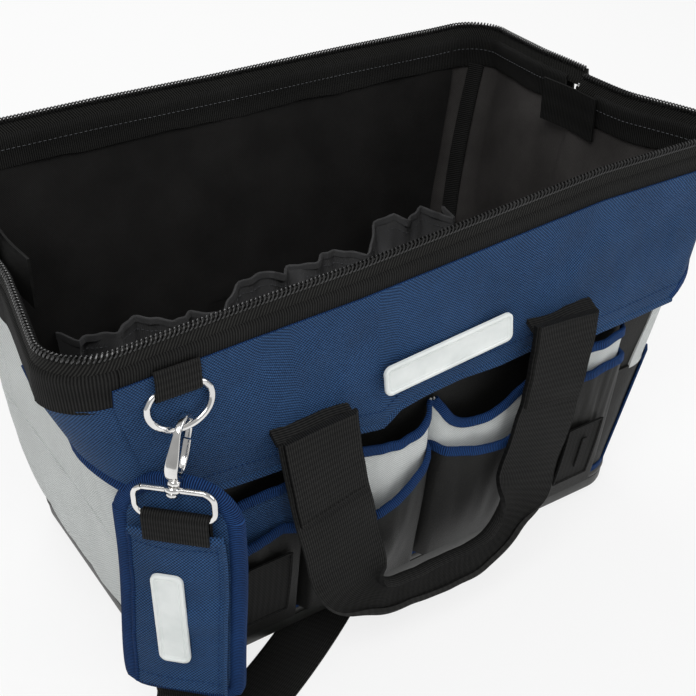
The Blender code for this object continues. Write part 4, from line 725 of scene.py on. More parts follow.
class Finishes:
    """Every material on the bag, built once."""

    def __init__(self) -> None:
        """Builds the materials."""
        # 600 denier polyester: plump yarns drawn as light dots of painted highlight on navy gaps of painted
        #                       shade.
        # The repeat is drawn at 2 mm, a little coarser than the real yarns, so that the dots show.
        self.blue = Cloth("woven_blue_polyester", "#385f8f", "#03152f", Weave.DOTS, 0.0020, 0.00030, 0.72,
                          0.14, 0.03, 0.14).build()
        self.navy = Cloth("ribbed_navy_binding", "#24487c", "#061636", Weave.RIBS, 0.0012, 0.00020,
                          0.75).build()
        # The same cloth in grey, closer and flatter, so it reads as a fine even tooth.
        self.grey = Cloth("woven_grey_polyester", "#e8ebe9", "#b6bab9", Weave.DOTS, 0.0016, 0.00010, 0.8,
                          0.05).build()
        # Polyvinyl coated cloth: nearly black, soft satin and almost no thread.
        self.coated = Cloth("coated_black_cloth", "#1f1f1e", "#131312", Weave.GRAIN, 0.0011, 0.00006, 0.55,
                            0.12, 0.0, 0.17).build()
        self.lining = Cloth("black_nylon_lining", "#292828", "#121211", Weave.DOTS, 0.0013, 0.00006, 0.62,
                            0.25).build()
        self.charcoal = Cloth("charcoal_nylon_lining", "#464443", "#2a2827", Weave.DOTS, 0.0013, 0.00006,
                              0.62, 0.25).build()
        self.smoke = Cloth("smoke_grey_nylon", "#5a5a5b", "#3a3a3b", Weave.DOTS, 0.0012, 0.00005, 0.5, 0.15,
                           0.1, 0.4).build()
        # Polypropylene webbing: raised cords along its length with short cross picks.
        self.webbing = Cloth("black_ribbed_webbing", "#2a2a29", "#0b0b0b", Weave.CORDS, 0.0014, 0.00016, 0.72,
                             0.16).build()
        self.band = Cloth("black_rim_band", "#272726", "#080808", Weave.RIBS, 0.0015, 0.0002, 0.78,
                          0.16).build()
        self.twill = Cloth("zip_twill_tape", "#2e2e2c", "#0a0a0a", Weave.TWILL, 0.0015, 0.0002, 0.7,
                           0.1).build()
        # Nylon monofilament: black and glossy, each turn carries a thin highlight.
        self.coil = Smooth("nylon_zip_coil", "#1b1b1b", "#2a2a2a", 0.25, coat=0.3).build()
        # Nickel plate: bright and mirror-like with faint polishing waves.
        self.chrome = Smooth("nickel_plated_steel", "#e9e8e6", "#d2d1cf", 0.13, 1.0, 0.004, 0.00002).build()
        self.steel = Smooth("spring_steel", "#8e8f90", "#6e6f70", 0.38, 1.0).build()
        # Soft moulded vinyl: white, slightly waxy.
        self.label = Smooth("moulded_white_vinyl", "#f0f4f2", "#e4e9e7", 0.42, grain=0.0008).build()
        # Moulded polypropylene: charcoal black with a fine spark-eroded grain.
        self.tray = Smooth("moulded_black_polypropylene", "#1c1d1b", "#343533", 0.48, grain=0.0009,
                           relief=0.00008).build()
        self.board = Cloth("pressed_base_board", "#2a2a2b", "#161616", Weave.GRAIN, 0.0012, 0.00008,
                           0.85).build()
        self.thread = Cloth("light_sewing_thread", "#6f7174", "#3a3c3f", Weave.RIBS, 0.0012, 0.0001,
                            0.7).build()


def stitches(work: Patchwork, path: np.ndarray, out: np.ndarray, slot: int, pitch: float = 0.0034,
             radius: float = 0.00032) -> None:
    """Sews a run of short raised stitches into a mesh.

    Each stitch is a spindle of four sides: it starts and ends in the cloth and stands up by its radius at
    the middle; two thirds of the pitch is thread and one third gap.

    Args:
        work: Mesh that gets them.
        path: Line of the seam.
        out: Outward direction, one for all or one per point.
        slot: Slot number of the thread.
        pitch: Length of a stitch with its gap.
        radius: Half thickness of the thread.
    """
    run = lengths(path)
    count = max(int(run[-1] / pitch), 1)
    out = np.broadcast_to(np.asarray(out, float), path.shape)
    share = np.array([0.0, 0.33, 0.66, 1.0])
    at = (np.arange(count)[:, None] + 0.66 * share[None]) * pitch
    place = sample(at, run, path)
    up = unit(sample(at, run, out))
    way = unit(sample(at + 1e-4, run, path) - place + 1e-9)
    wide = np.cross(way, up)
    size = np.array([0.3, 1.0, 1.0, 0.3])[None, :, None] * radius
    corner = [wide * size, up * size, -wide * size, -up * size]
    grid = np.stack([place + c + up * radius * 0.4 for c in corner], axis=2)
    base = np.arange(count)[:, None] * 16
    block = (base[..., None] + quads(4, 4, wrap_cols=True)[0][None]).reshape(-1, 4)
    faces = np.concatenate([block, base + np.array([[3, 2, 1, 0]]), base + np.array([[12, 13, 14, 15]])])
    work.add(grid.reshape(-1, 3), [faces], [np.zeros((len(faces), 4, 2))], [slot])


# The bag's body

def corner_plan(half_x: float, half_y: float, radius: float, start: float, end: float,
                count: int) -> np.ndarray:
    """Part of a rounded rectangle, evenly spaced by length, between two marks on its perimeter.

    Marks run 0 to 4 counter-clockwise from the middle of the right end: 0 right end, 1 rear side, 2 left
    end, 3 front side, so 2.5 is the front left corner.

    Args:
        half_x, half_y, radius: Size of the rectangle and its corners.
        start, end: Marks of the part.
        count: Number of points.

    Returns:
        Array of count points of two coordinates.
    """
    outline = rounded(half_x, half_y, radius, 10)
    loop = np.concatenate([outline, outline[:1]])
    angle = np.unwrap(np.arctan2(loop[:, 1] / half_y, loop[:, 0] / half_x)) / (np.pi / 2)
    angle, flat = np.concatenate([angle - 4, angle, angle + 4]), np.concatenate([loop, loop, loop])
    order = np.argsort(angle, kind="stable")
    marks = np.linspace(start, end, count * 6)
    dense = np.stack([np.interp(marks, angle[order], flat[order, k]) for k in range(2)], 1)
    return even(dense, count)


@dataclass
class Tray:
    """Moulded tray with its rubber feet and the board lying in it."""

    length: float = 0.370
    width: float = 0.215

    def build(self, finish: Finishes) -> list[bpy.types.Object]:
        """A profile carried round a rounded rectangle: floor, bevelled foot, wall, groove, lip and inside.

        Args:
            finish: The bag's materials.

        Returns:
            The finished pieces.
        """
        outline = rounded(self.length / 2, self.width / 2, CORNER, 12)
        way = headings(outline, closed=True)
        out = np.stack([way[:, 1], -way[:, 0]], 1)
        profile = np.array([[-0.0060, 0.0042], [-0.0016, 0.0040], [-0.0004, 0.0046], [0.0, 0.0058],
                            [0.0005, 0.0110], [0.0004, 0.0128], [-0.0007, 0.0133], [-0.0007, 0.0141],
                            [0.0010, 0.0146], [0.0015, 0.0158], [0.0015, 0.0180], [0.0007, 0.0190],
                            [-0.0008, 0.0192], [-0.0040, 0.0186], [-0.0055, 0.0170], [-0.0056, 0.0072]])
        grid = np.concatenate([np.repeat(outline[None], len(profile), 0) + out[None] * profile[:, None, :1],
                               np.repeat(profile[:, None, 1:], len(outline), 1)], axis=2)
        work = Patchwork("tray_shell", [finish.tray])
        work.tube(grid)
        ring = wire(1.0, 28)
        for x, y, radius in ((-0.16, -0.05, 0.015), (-0.16, 0.05, 0.015), (0.16, -0.05, 0.015),
                             (0.16, 0.05, 0.015), (0.0, 0.0, 0.011)):
            rows = [at_height(ring * (radius + a) + (x, y), z)
                    for a, z in ((0.001, 0.0045), (0.0, 0.0015), (-0.0012, 0.0))]
            work.tube(np.stack(rows))
        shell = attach(work.build(), "bag")
        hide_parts("base_tray")
        flat = rounded(self.length / 2 - 0.0060, self.width / 2 - 0.0060, CORNER - 0.006, 8)
        levels = ((0.0012, 0.0074), (0.0, 0.0080), (0.0, 0.0108), (0.0012, 0.0113))
        rows = [at_height(flat * (1 - a / 0.1), z) for a, z in levels]
        slab = Patchwork("base_board_cover", [finish.board])
        slab.tube(np.stack(rows))
        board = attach(slab.build(), "bag")
        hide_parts("base_board")
        return [shell, board]


@dataclass
class LowerBody:
    """Stiff lower box: coated fronts and grey ends seamed on the corners, lined in black.

    Attributes:
        low, high: Heights of the walls' lower and upper edges.
        swell: How far the end walls bulge.
    """

    low: float = 0.0185
    high: float = 0.1138
    swell: float = 0.007

    def panel(self, name: str, start: float, end: float, outer: bpy.types.Material,
              lining: bpy.types.Material, soft: float) -> bpy.types.Object:
        """One wall between two perimeter marks; it swells outwards low down by a half sine of its height.

        Args:
            name: Piece's name.
            start, end: Marks as corner_plan takes them.
            outer, lining: Materials of the two faces.
            soft: How far it bulges.

        Returns:
            The wall, riding on the bag.
        """
        z = np.linspace(self.low, self.high, 15)
        rows = []
        for level in z:
            plan = corner_plan(end_x(level), side_y(level), CORNER, start, end, 56)
            way = headings(plan)
            out = np.stack([way[:, 1], -way[:, 0]], 1)
            t = np.linspace(0, 1, len(plan))
            share = np.sin(np.pi * np.clip((level - self.low) / (self.high - self.low), 0, 1) ** 0.7)
            uneven = 0.0007 * ripple(t * 0.3, np.full_like(t, level), 0.09, 4)
            puff = soft * share * np.sin(np.pi * t) ** 0.6 + uneven
            rows.append(at_height(plan + out * puff[:, None], level))
        work = Patchwork(name, [outer, lining])
        work.sheet(np.stack(rows)[:, ::-1], WALL, front=1, back=0, edge=0)
        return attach(work.build(), "bag")

    def build(self, finish: Finishes) -> list[bpy.types.Object]:
        """Four walls, four ribbed bindings sewn over their corner seams, and the welt round the foot.

        Args:
            finish: The bag's materials.

        Returns:
            The finished pieces.
        """
        made = []
        for name, node_name, start, end, outer, soft in (
                ("lower_front", "lower_wall_front", 2.5, 3.5, finish.coated, 0.001),
                ("lower_rear", "lower_wall_rear", 0.5, 1.5, finish.coated, 0.001),
                ("lower_right", "lower_end_right", -0.5, 0.5, finish.grey, self.swell),
                ("lower_left", "lower_end_left", 1.5, 2.5, finish.grey, self.swell)):
            obj = self.panel(name, start, end, outer, finish.lining, soft)
            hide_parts(node_name)
            made.append(obj)
        work = Patchwork("corner_bindings", [finish.navy])
        for mark in (0.5, 1.5, 2.5, 3.5):
            z = np.linspace(self.low, self.high + 0.006, 14)
            spots = np.array([corner_plan(end_x(a), side_y(a), CORNER, mark - 0.02, mark + 0.02, 3)[1]
                              for a in z])
            out = unit(at_height(spots, 0.0) * (0.6, 1, 0))
            path = at_height(spots, z) + out * 0.0026
            work.tube(swept(path, np.cross(out, UP), belt(0.009, 0.0018)), across=0.02)
        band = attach(work.build(), "bag")
        made.append(band)
        # A welt where the walls meet the tray.
        plan = rounded(BASE_X + 0.0026, BASE_Y + 0.0026, CORNER, 12)
        foot = Patchwork("foot_welt", [finish.navy])
        foot.tube(swept(at_height(plan, 0.0212), UP, belt(0.0050, 0.0022), closed=True), closed=True,
                  across=0.012)
        made.append(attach(foot.build(), "bag"))
        return made


@dataclass
class UpperWall:
    """One long wall above the fold: lining inside, padded blue panel outside with a wavy lower edge."""

    side: Side

    def half(self, sign: int, along: np.ndarray) -> np.ndarray:
        """Half length towards one end at a distance up from the fold."""
        low = end_x(FOLD_Z) - CORNER
        return low + (arm_reach(self.side, sign) - CORNER - low) * np.clip(along / 0.1365, 0, 1)

    def build(self, finish: Finishes) -> list[bpy.types.Object]:
        """The wall's inner layer and its outer panel, whose lower edge rises and falls in soft waves.

        Args:
            finish: The bag's materials.

        Returns:
            The finished pieces.
        """
        body = f"{self.side.tag}_wall"
        along, t = np.meshgrid(np.linspace(-0.001, 0.1465, 22), np.linspace(0, 1, 56), indexing="ij")
        x = -self.half(-1, along) * (1 - t) + self.half(1, along) * t
        wave = 0.0011 * ripple(x, along * 0.7, 0.12, 11) * ease(along / 0.03)
        base = rim_lift(wall_point(self.side, x, along, wave - 0.0012))
        inner = Patchwork(f"upper_lining_{self.side.tag}", [finish.coated, finish.lining])
        flip = slice(None, None, -1) if self.side is Side.REAR else slice(None)
        inner.sheet(base[:, flip], 0.0022, front=0, back=1)
        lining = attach(inner.build(), body)
        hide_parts(f"upper_wall_{self.side.tag}")
        # Outer panel: edge heights read along the front, a plain gentle wave at the rear.
        u = np.linspace(0, 1, 96)
        span = -(self.half(-1, 0.09) + 0.004) * (1 - u) + (self.half(1, 0.09) + 0.004) * u
        if self.side is Side.FRONT:
            edge = np.interp(span, [-0.21, -0.15, -0.121, -0.102, -0.050, -0.038, -0.020, 0.009, 0.039, 0.063,
                                    0.098, 0.124, 0.16, 0.21],
                             [0.166, 0.158, 0.157, 0.168, 0.158, 0.168, 0.171, 0.174, 0.172, 0.173, 0.164,
                              0.165, 0.166, 0.168])
        else:
            edge = 0.166 + 0.003 * np.sin(span * 60)
        edge = (edge - FOLD_Z) / math.cos(LEAN)
        s = np.linspace(0, 1, 26)[:, None]
        along = edge[None] * (1 - s) + 0.1478 * s
        x = -(self.half(-1, along) + 0.004) * (1 - u[None]) + (self.half(1, along) + 0.004) * u[None]
        plump = 0.0042 + 0.0052 * (1 - ease((s - 0.02) / 0.85)) * (0.75 + 0.25 * np.sin(np.pi * u[None]))
        plump = plump - 0.0030 * np.exp(-(s / 0.035) ** 2)
        creases = 0.0014 * ripple(x, along * 0.6, 0.10, 23) + 0.0007 * ripple(x * 2, along * 1.2, 0.07, 5)
        fan = 0.0013 * np.cos((x + 0.175) * 95) * np.exp(-((x + 0.175) / 0.05) ** 2) * np.sin(np.pi * s)
        away = plump + creases * np.sin(np.pi * np.clip(s, 0.08, 1)) + fan
        grid = rim_lift(wall_point(self.side, x, along, away))
        outer = Patchwork(f"blue_panel_{self.side.tag}",
                          [finish.blue, finish.coated, finish.navy, finish.thread])
        outer.sheet(grid[:, flip], 0.0024, front=0, back=1, edge=2)
        hem = grid[1] + BACK * (self.side.value * 0.0012)
        outer.tube(swept(hem, UP, belt(0.0052, 0.0026)), slot=0, across=0.012)
        seam = grid[4] + BACK * (self.side.value * 0.0013)
        stitches(outer, seam, np.array([0, self.side.value, 0.15]), 2)
        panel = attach(outer.build(), body)
        return [lining, panel]


@dataclass
class EndGusset:
    """Soft end wall above the fold: a middle that hangs inwards and two corners beside the long walls."""

    sign: int
    sag: float = 0.010

    def plan(self, level: float, count: int, start: float, stop: float) -> np.ndarray:
        """Plan points at one height between two signed distances along the end, front negative.

        The outline is the straight blend between the rounded lower box and the mouth's end; the middle
        hangs inwards by a sine of the height.

        Args:
            level: Height.
            count: Number of points.
            start, stop: Signed distances from the end's middle; 1 is the seam with a long wall.

        Returns:
            Array of count points of two coordinates.
        """
        t = np.clip((level - FOLD_Z) / (GUSSET_TOP - FOLD_Z), 0, 1)
        low, high = end_x(FOLD_Z), side_y(0.2491)
        pts = []
        for side in Side:
            top = arm_reach(side, self.sign)
            half_y = side_y(FOLD_Z) * (1 - t) + high * t
            half_x = low * (1 - t) + top * t
            middle = low * (1 - t) + (top - ARM_TAPER) * t
            a = np.radians(np.linspace(-90, 0, 10))
            arc_x = half_x - CORNER + CORNER * np.cos(a)
            arc_y = -half_y + CORNER + CORNER * np.sin(a)
            run_y = np.linspace(arc_y[-1], 0, 12)[1:]
            run_x = np.interp(run_y, [-0.112, -0.042], [half_x, middle])
            part = np.stack([np.concatenate([arc_x, run_x]), np.concatenate([arc_y, run_y])], 1)
            pts.append(part if side is Side.FRONT else (part * (1, -1))[::-1])
        line = np.concatenate([pts[0], pts[1][1:]])
        run = lengths(line)
        marks = (run - run[-1] / 2) / (run[-1] / 2)
        at = np.linspace(start, stop, count)
        flat = sample(at, marks, line)
        bow = self.sag * math.sin(math.pi * t) * np.cos(np.pi / 2 * np.clip(at, -1, 1)) ** 0.8
        flat[:, 0] -= bow
        return flat * (self.sign, 1)

    def surface(self, start: float, stop: float, count: int, rows: int, shift: float = 0.0) -> np.ndarray:
        """Grid of the end wall with soft vertical creases.

        Args:
            start, stop: Signed distances along the end, as plan takes them.
            count, rows: Points along the end and up it.
            shift: How far the surface stands out.

        Returns:
            Array of rows by count by three.
        """
        at = np.linspace(start, stop, count)
        grid = np.stack([at_height(self.plan(z, count, start, stop), z)
                         for z in np.linspace(GUSSET_LOW, GUSSET_TOP, rows)])
        crease = 0.0022 * ripple(np.broadcast_to(at * 0.16, grid.shape[:2]), grid[..., 2] * 0.5, 0.11, 7)
        fade = np.sin(np.pi * np.clip((grid[..., 2] - FOLD_Z) / 0.136, 0, 1))
        grid[..., 0] += self.sign * (crease * fade + shift)
        return rim_lift(grid)

    def wrap(self, grid: np.ndarray, at: np.ndarray, side: Side) -> tuple[np.ndarray, np.ndarray]:
        """The end of the blue panel, which wraps round a corner above a slanting seam.

        Args:
            grid: The corner's own surface, 26 by 26.
            at: Signed distances of its columns along the end.
            side: Side of the corner.

        Returns:
            Grid of the wrap from its seam up, and the outward direction of each column.
        """
        depth = np.abs(at)
        seam = np.interp(depth, [0.56, 0.75, 1.0], [0.214, 0.200, 0.172])
        rows = np.linspace(0, 1, 16)[:, None]
        level = seam[None] * (1 - rows) + 0.2495 * rows
        k = (level - GUSSET_LOW) / (GUSSET_TOP - GUSSET_LOW) * 25
        i = np.clip(k.astype(int), 0, 24)
        f = (k - i)[..., None]
        col = np.broadcast_to(np.arange(26), k.shape)
        lay = grid[i, col] * (1 - f) + grid[i + 1, col] * f
        out = np.stack([self.sign * (1.2 - depth), side.value * (depth - 0.5) * 2.2], 1)
        out = unit(at_height(out, 0.0))
        proud = 0.0040 * (1 - ease(rows[..., None] / 0.85)) * ease((depth[None, :, None] - 0.6) / 0.35)
        return lay + out[None] * (0.0038 + proud), out

    def binding(self, name: str, side: Side, finish: Finishes) -> bpy.types.Object:
        """Ribbed strip sewn over a corner's seam inside.

        Args:
            name: The piece's name.
            side: Side of the corner.
            finish: The bag's materials.

        Returns:
            The finished piece.
        """
        z = np.linspace(GUSSET_LOW, 0.2480, 26)
        mark = 0.86 * side.value
        spot = np.stack([self.plan(level, 5, mark - 0.01, mark + 0.01)[2] for level in z])
        inward = unit(np.array([-self.sign * 1.0, -side.value * 1.3, 0.0]))
        line = rim_lift(at_height(spot, z) + inward * 0.0036)
        strip = Patchwork(name, [finish.band])
        strip.tube(swept(line, np.cross(inward, UP), belt(0.012, 0.0018)), across=0.026)
        return strip.build()

    def build(self, finish: Finishes) -> list[bpy.types.Object]:
        """Middle, two corners with navy piping on their seams, and the strips inside.

        Args:
            finish: The bag's materials.

        Returns:
            The finished pieces.
        """
        hand = "left" if self.sign < 0 else "right"
        inside = finish.charcoal
        flip = slice(None, None, -1) if self.sign < 0 else slice(None)
        middle = Patchwork(f"end_middle_{hand}", [finish.grey, inside, finish.navy])
        middle.sheet(self.surface(-0.62, 0.62, 40, 24)[:, flip][::-1], 0.0026, front=1, back=0, edge=0)
        made = []
        for side in Side:
            lo, hi = (-1.0, -0.56) if side is Side.FRONT else (0.56, 1.0)
            corner = Patchwork(f"end_corner_{side.tag}_{hand}",
                               [finish.blue, inside, finish.navy, finish.grey])
            grid = self.surface(lo, hi, 26, 26, shift=0.0003)
            corner.sheet(grid[:, flip][::-1], 0.0026, front=1, back=3, edge=3)
            lay, out = self.wrap(grid, np.linspace(lo, hi, 26), side)
            corner.sheet(lay[:, flip][::-1], 0.0020, front=3, back=0, edge=2)
            corner.tube(swept(lay[0] + out * 0.0012, UP, belt(0.0060, 0.0022)), slot=2, across=0.014)
            for obj in (corner.build(), self.binding(f"inner_binding_{side.tag}_{hand}", side, finish)):
                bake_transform(obj)
                made.append(obj)
        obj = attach(middle.build(), "bag")
        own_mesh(obj)
        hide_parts(f"end_gusset_{hand}")
        made.append(obj)
        return made


# The rim: steel frame, tape and zip

@dataclass
class Mouth:
    """Half of the gate mouth: a steel frame, the band folded over it and half of the zip.

    Attributes:
        side: Side of the bag.
        band_depth: How far the band hangs down.
        zip_end: Distance of the zip's ends from the rivets' line.
        coil_pitch, coil_half, coil_rise: Spacing of the coil's turns, and their half width and half height.
    """

    side: Side
    band_depth: float = 0.0185
    zip_end: float = 0.003
    coil_pitch: float = 0.0025
    coil_half: float = 0.0017
    coil_rise: float = 0.0019

    def line(self, end: float, count: int, sign: int | None = None) -> tuple[np.ndarray, np.ndarray]:
        """Middle line and outward directions of the half frame at the bar's height.

        Args:
            end: Distance of the arms' ends from the rivets' line.
            count: Number of points.
            sign: Which arm's part to return; None for the whole half frame.

        Returns:
            Points and unit outward directions.
        """
        parts = []
        for s in (-1, 1):
            reach = arm_reach(self.side, s)
            run_y = np.linspace(end, ARM_REACH, 14)[:-1]
            share = np.clip((run_y - ARM_STRAIGHT) / (ARM_REACH - ARM_STRAIGHT), 0, 1)
            run_x = reach - ARM_TAPER * (1 - share)
            a = np.radians(np.linspace(0, 90, 12))
            x = np.concatenate([run_x, reach - CORNER + CORNER * np.cos(a)])
            y = np.concatenate([run_y, MOUTH_Y - CORNER + CORNER * np.sin(a)])
            part = np.stack([s * x, self.side.value * y], 1)
            parts.append(part if s < 0 else part[::-1])
        line = even({-1: parts[0], 1: parts[1], None: np.concatenate(parts)}[sign], count)
        way = headings(line)
        out = at_height(np.stack([-way[:, 1], way[:, 0]], 1), 0.0) * self.side.value
        return at_height(line, BAR_Z), out

    def band(self, name: str, path: np.ndarray, out: np.ndarray, finish: Finishes) -> bpy.types.Object:
        """The band over the frame: an upside-down U whose legs hang down outside and inside.

        Each station's section is a half circle over the wire with two straight legs; the legs lean as the
        long walls do, and their lower edges wander a little.

        Args:
            name: Piece's name.
            path, out: Middle line at the wire and its outward directions.
            finish: Materials.

        Returns:
            The band with one row of stitches inside.
        """
        radius, thick, depth = 0.0030, 0.0015, self.band_depth
        a = np.radians(np.linspace(180, 0, 9))
        leg = np.linspace(-depth, 0, 8)[:-1]
        outer = np.concatenate([np.stack([np.full(7, -radius - thick), leg], 1),
                                np.stack([(radius + thick) * np.cos(a), (radius + thick) * np.sin(a)], 1),
                                np.stack([np.full(7, radius + thick), leg[::-1]], 1)])
        inner = np.concatenate([np.stack([np.full(7, radius), leg], 1),
                                np.stack([radius * np.cos(a[::-1]), radius * np.sin(a[::-1])], 1),
                                np.stack([np.full(7, -radius), leg[::-1]], 1)])
        section = np.concatenate([outer, inner])
        lean = math.tan(LEAN) * np.abs(out[:, 1:2])
        run = lengths(path)
        wander = 1 + 0.05 * ripple(run, run * 0, 0.08, 31)
        up = section[None, :, 1] * np.where(section[None, :, 1] < 0, wander[:, None], 1.0)
        side_way = section[None, :, 0] + up * lean
        grid = path[:, None] + out[:, None] * side_way[..., None] + UP * up[..., None]
        work = Patchwork(name, [finish.band, finish.thread])
        work.tube(rim_lift(grid), across=0.088)
        # One row of stitches shows on the inside, a little below the wire.
        drop = 0.0062
        level = path + out * (-(radius + thick + 0.0002) - drop * lean) - UP * drop
        stitches(work, rim_lift(level), -out, 1, 0.0036, 0.00028)
        return work.build(sharp=50)

    def zip_half(self, finish: Finishes) -> bpy.types.Object:
        """Zip tape standing on the band with the coil along its top.

        The coil is a helix: across the tape it swings with the cosine and up with the sine of a turn that
        advances once per pitch along the rim.

        Args:
            finish: The bag's materials.

        Returns:
            The finished piece.
        """
        path, out = self.line(self.zip_end, 420)
        work = Patchwork(f"zip_{self.side.tag}", [finish.twill, finish.coil, finish.thread])
        low, neck, top = 0.0042, 0.0088, 0.0128
        section = np.array([[0.0030, -0.001], [0.0026, low], [0.0009, neck], [0.0007, top - 0.001],
                            [-0.0007, top - 0.001], [-0.0009, neck], [-0.0026, low], [-0.0030, -0.001]])
        tape, tape_out = self.line(self.zip_end, 150)
        grid = tape[:, None] + tape_out[:, None] * section[None, :, :1] + UP * section[None, :, 1:]
        work.tube(rim_lift(grid), across=0.03)
        run = lengths(path)
        turns = int(run[-1] / self.coil_pitch)
        phase = np.linspace(0, turns * 2 * np.pi, turns * 10 + 1)
        at = phase / (2 * np.pi) * self.coil_pitch + 0.0006 * np.sin(phase)
        side_way = unit(sample(at, run, out))
        swing = self.coil_half * np.cos(phase)
        rise = top - self.coil_rise + 0.0004 + self.coil_rise * np.sin(phase)
        helix = sample(at, run, path) + side_way * swing[:, None] + UP * rise[:, None]
        work.tube(swept(rim_lift(helix), side_way, wire(0.00062, 5)), slot=1)
        return work.build(sharp=60)

    def steel(self, finish: Finishes) -> bpy.types.Object:
        """Round wire along the rim, flattened into eyes at both ends.

        Args:
            finish: The bag's materials.

        Returns:
            The finished piece.
        """
        path, out = self.line(0.010, 160)
        tail = np.linspace(0, 1, 8)[1:, None]
        ends = []
        for k, s in ((0, -1), (-1, 1)):
            stop = np.array([s * eye_reach(self.side, s), -self.side.value * 0.0030, BAR_Z])
            ends.append(path[k] + (stop - path[k]) * tail)
        path = np.concatenate([ends[0][::-1], path, ends[1]])
        out = np.concatenate([np.repeat(out[:1], 7, 0), out, np.repeat(out[-1:], 7, 0)])
        run = lengths(path)
        near = np.minimum(run, run[-1] - run)
        flat = ease(1 - near / 0.010)[:, None]
        ring = wire(0.002, 12)
        section = np.stack([ring[None, :, 0] * (1 - 0.4 * flat), ring[None, :, 1] * (1 + 0.75 * flat)], -1)
        work = Patchwork(f"frame_{self.side.tag}", [finish.steel])
        work.tube(swept(rim_lift(path), out, section))
        return work.build()

    def build(self, finish: Finishes) -> list[bpy.types.Object]:
        """Every piece of this half of the mouth.

        Args:
            finish: The bag's materials.

        Returns:
            The finished pieces.
        """
        tag = self.side.tag
        made = []
        left, right = (s * (arm_reach(self.side, s) - CORNER - 0.0002) for s in (-1, 1))
        x = np.linspace(left, right, 120)
        path = at_height(np.stack([x, np.full(120, self.side.value * MOUTH_Y)], 1), BAR_Z)
        out = np.repeat(BACK[None] * self.side.value, 120, 0)
        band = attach(self.band(f"rim_band_{tag}", path, out, finish), f"{tag}_wall")
        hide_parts(f"rim_tape_{tag}")
        made.append(band)
        for s, hand in ((-1, "left"), (1, "right")):
            path, out = self.line(0.0200, 60, sign=s)
            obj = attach(self.band(f"arm_band_{tag}_{hand}", path, out, finish), f"{tag}_frame")
            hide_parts(f"end_tape_{tag}_{hand}")
            made.append(obj)
        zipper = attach(self.zip_half(finish), f"{tag}_frame")
        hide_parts(f"zip_half_{tag}")
        wire_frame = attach(self.steel(finish), f"{tag}_frame")
        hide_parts(f"mouth_frame_{tag}")
        return made + [zipper, wire_frame]


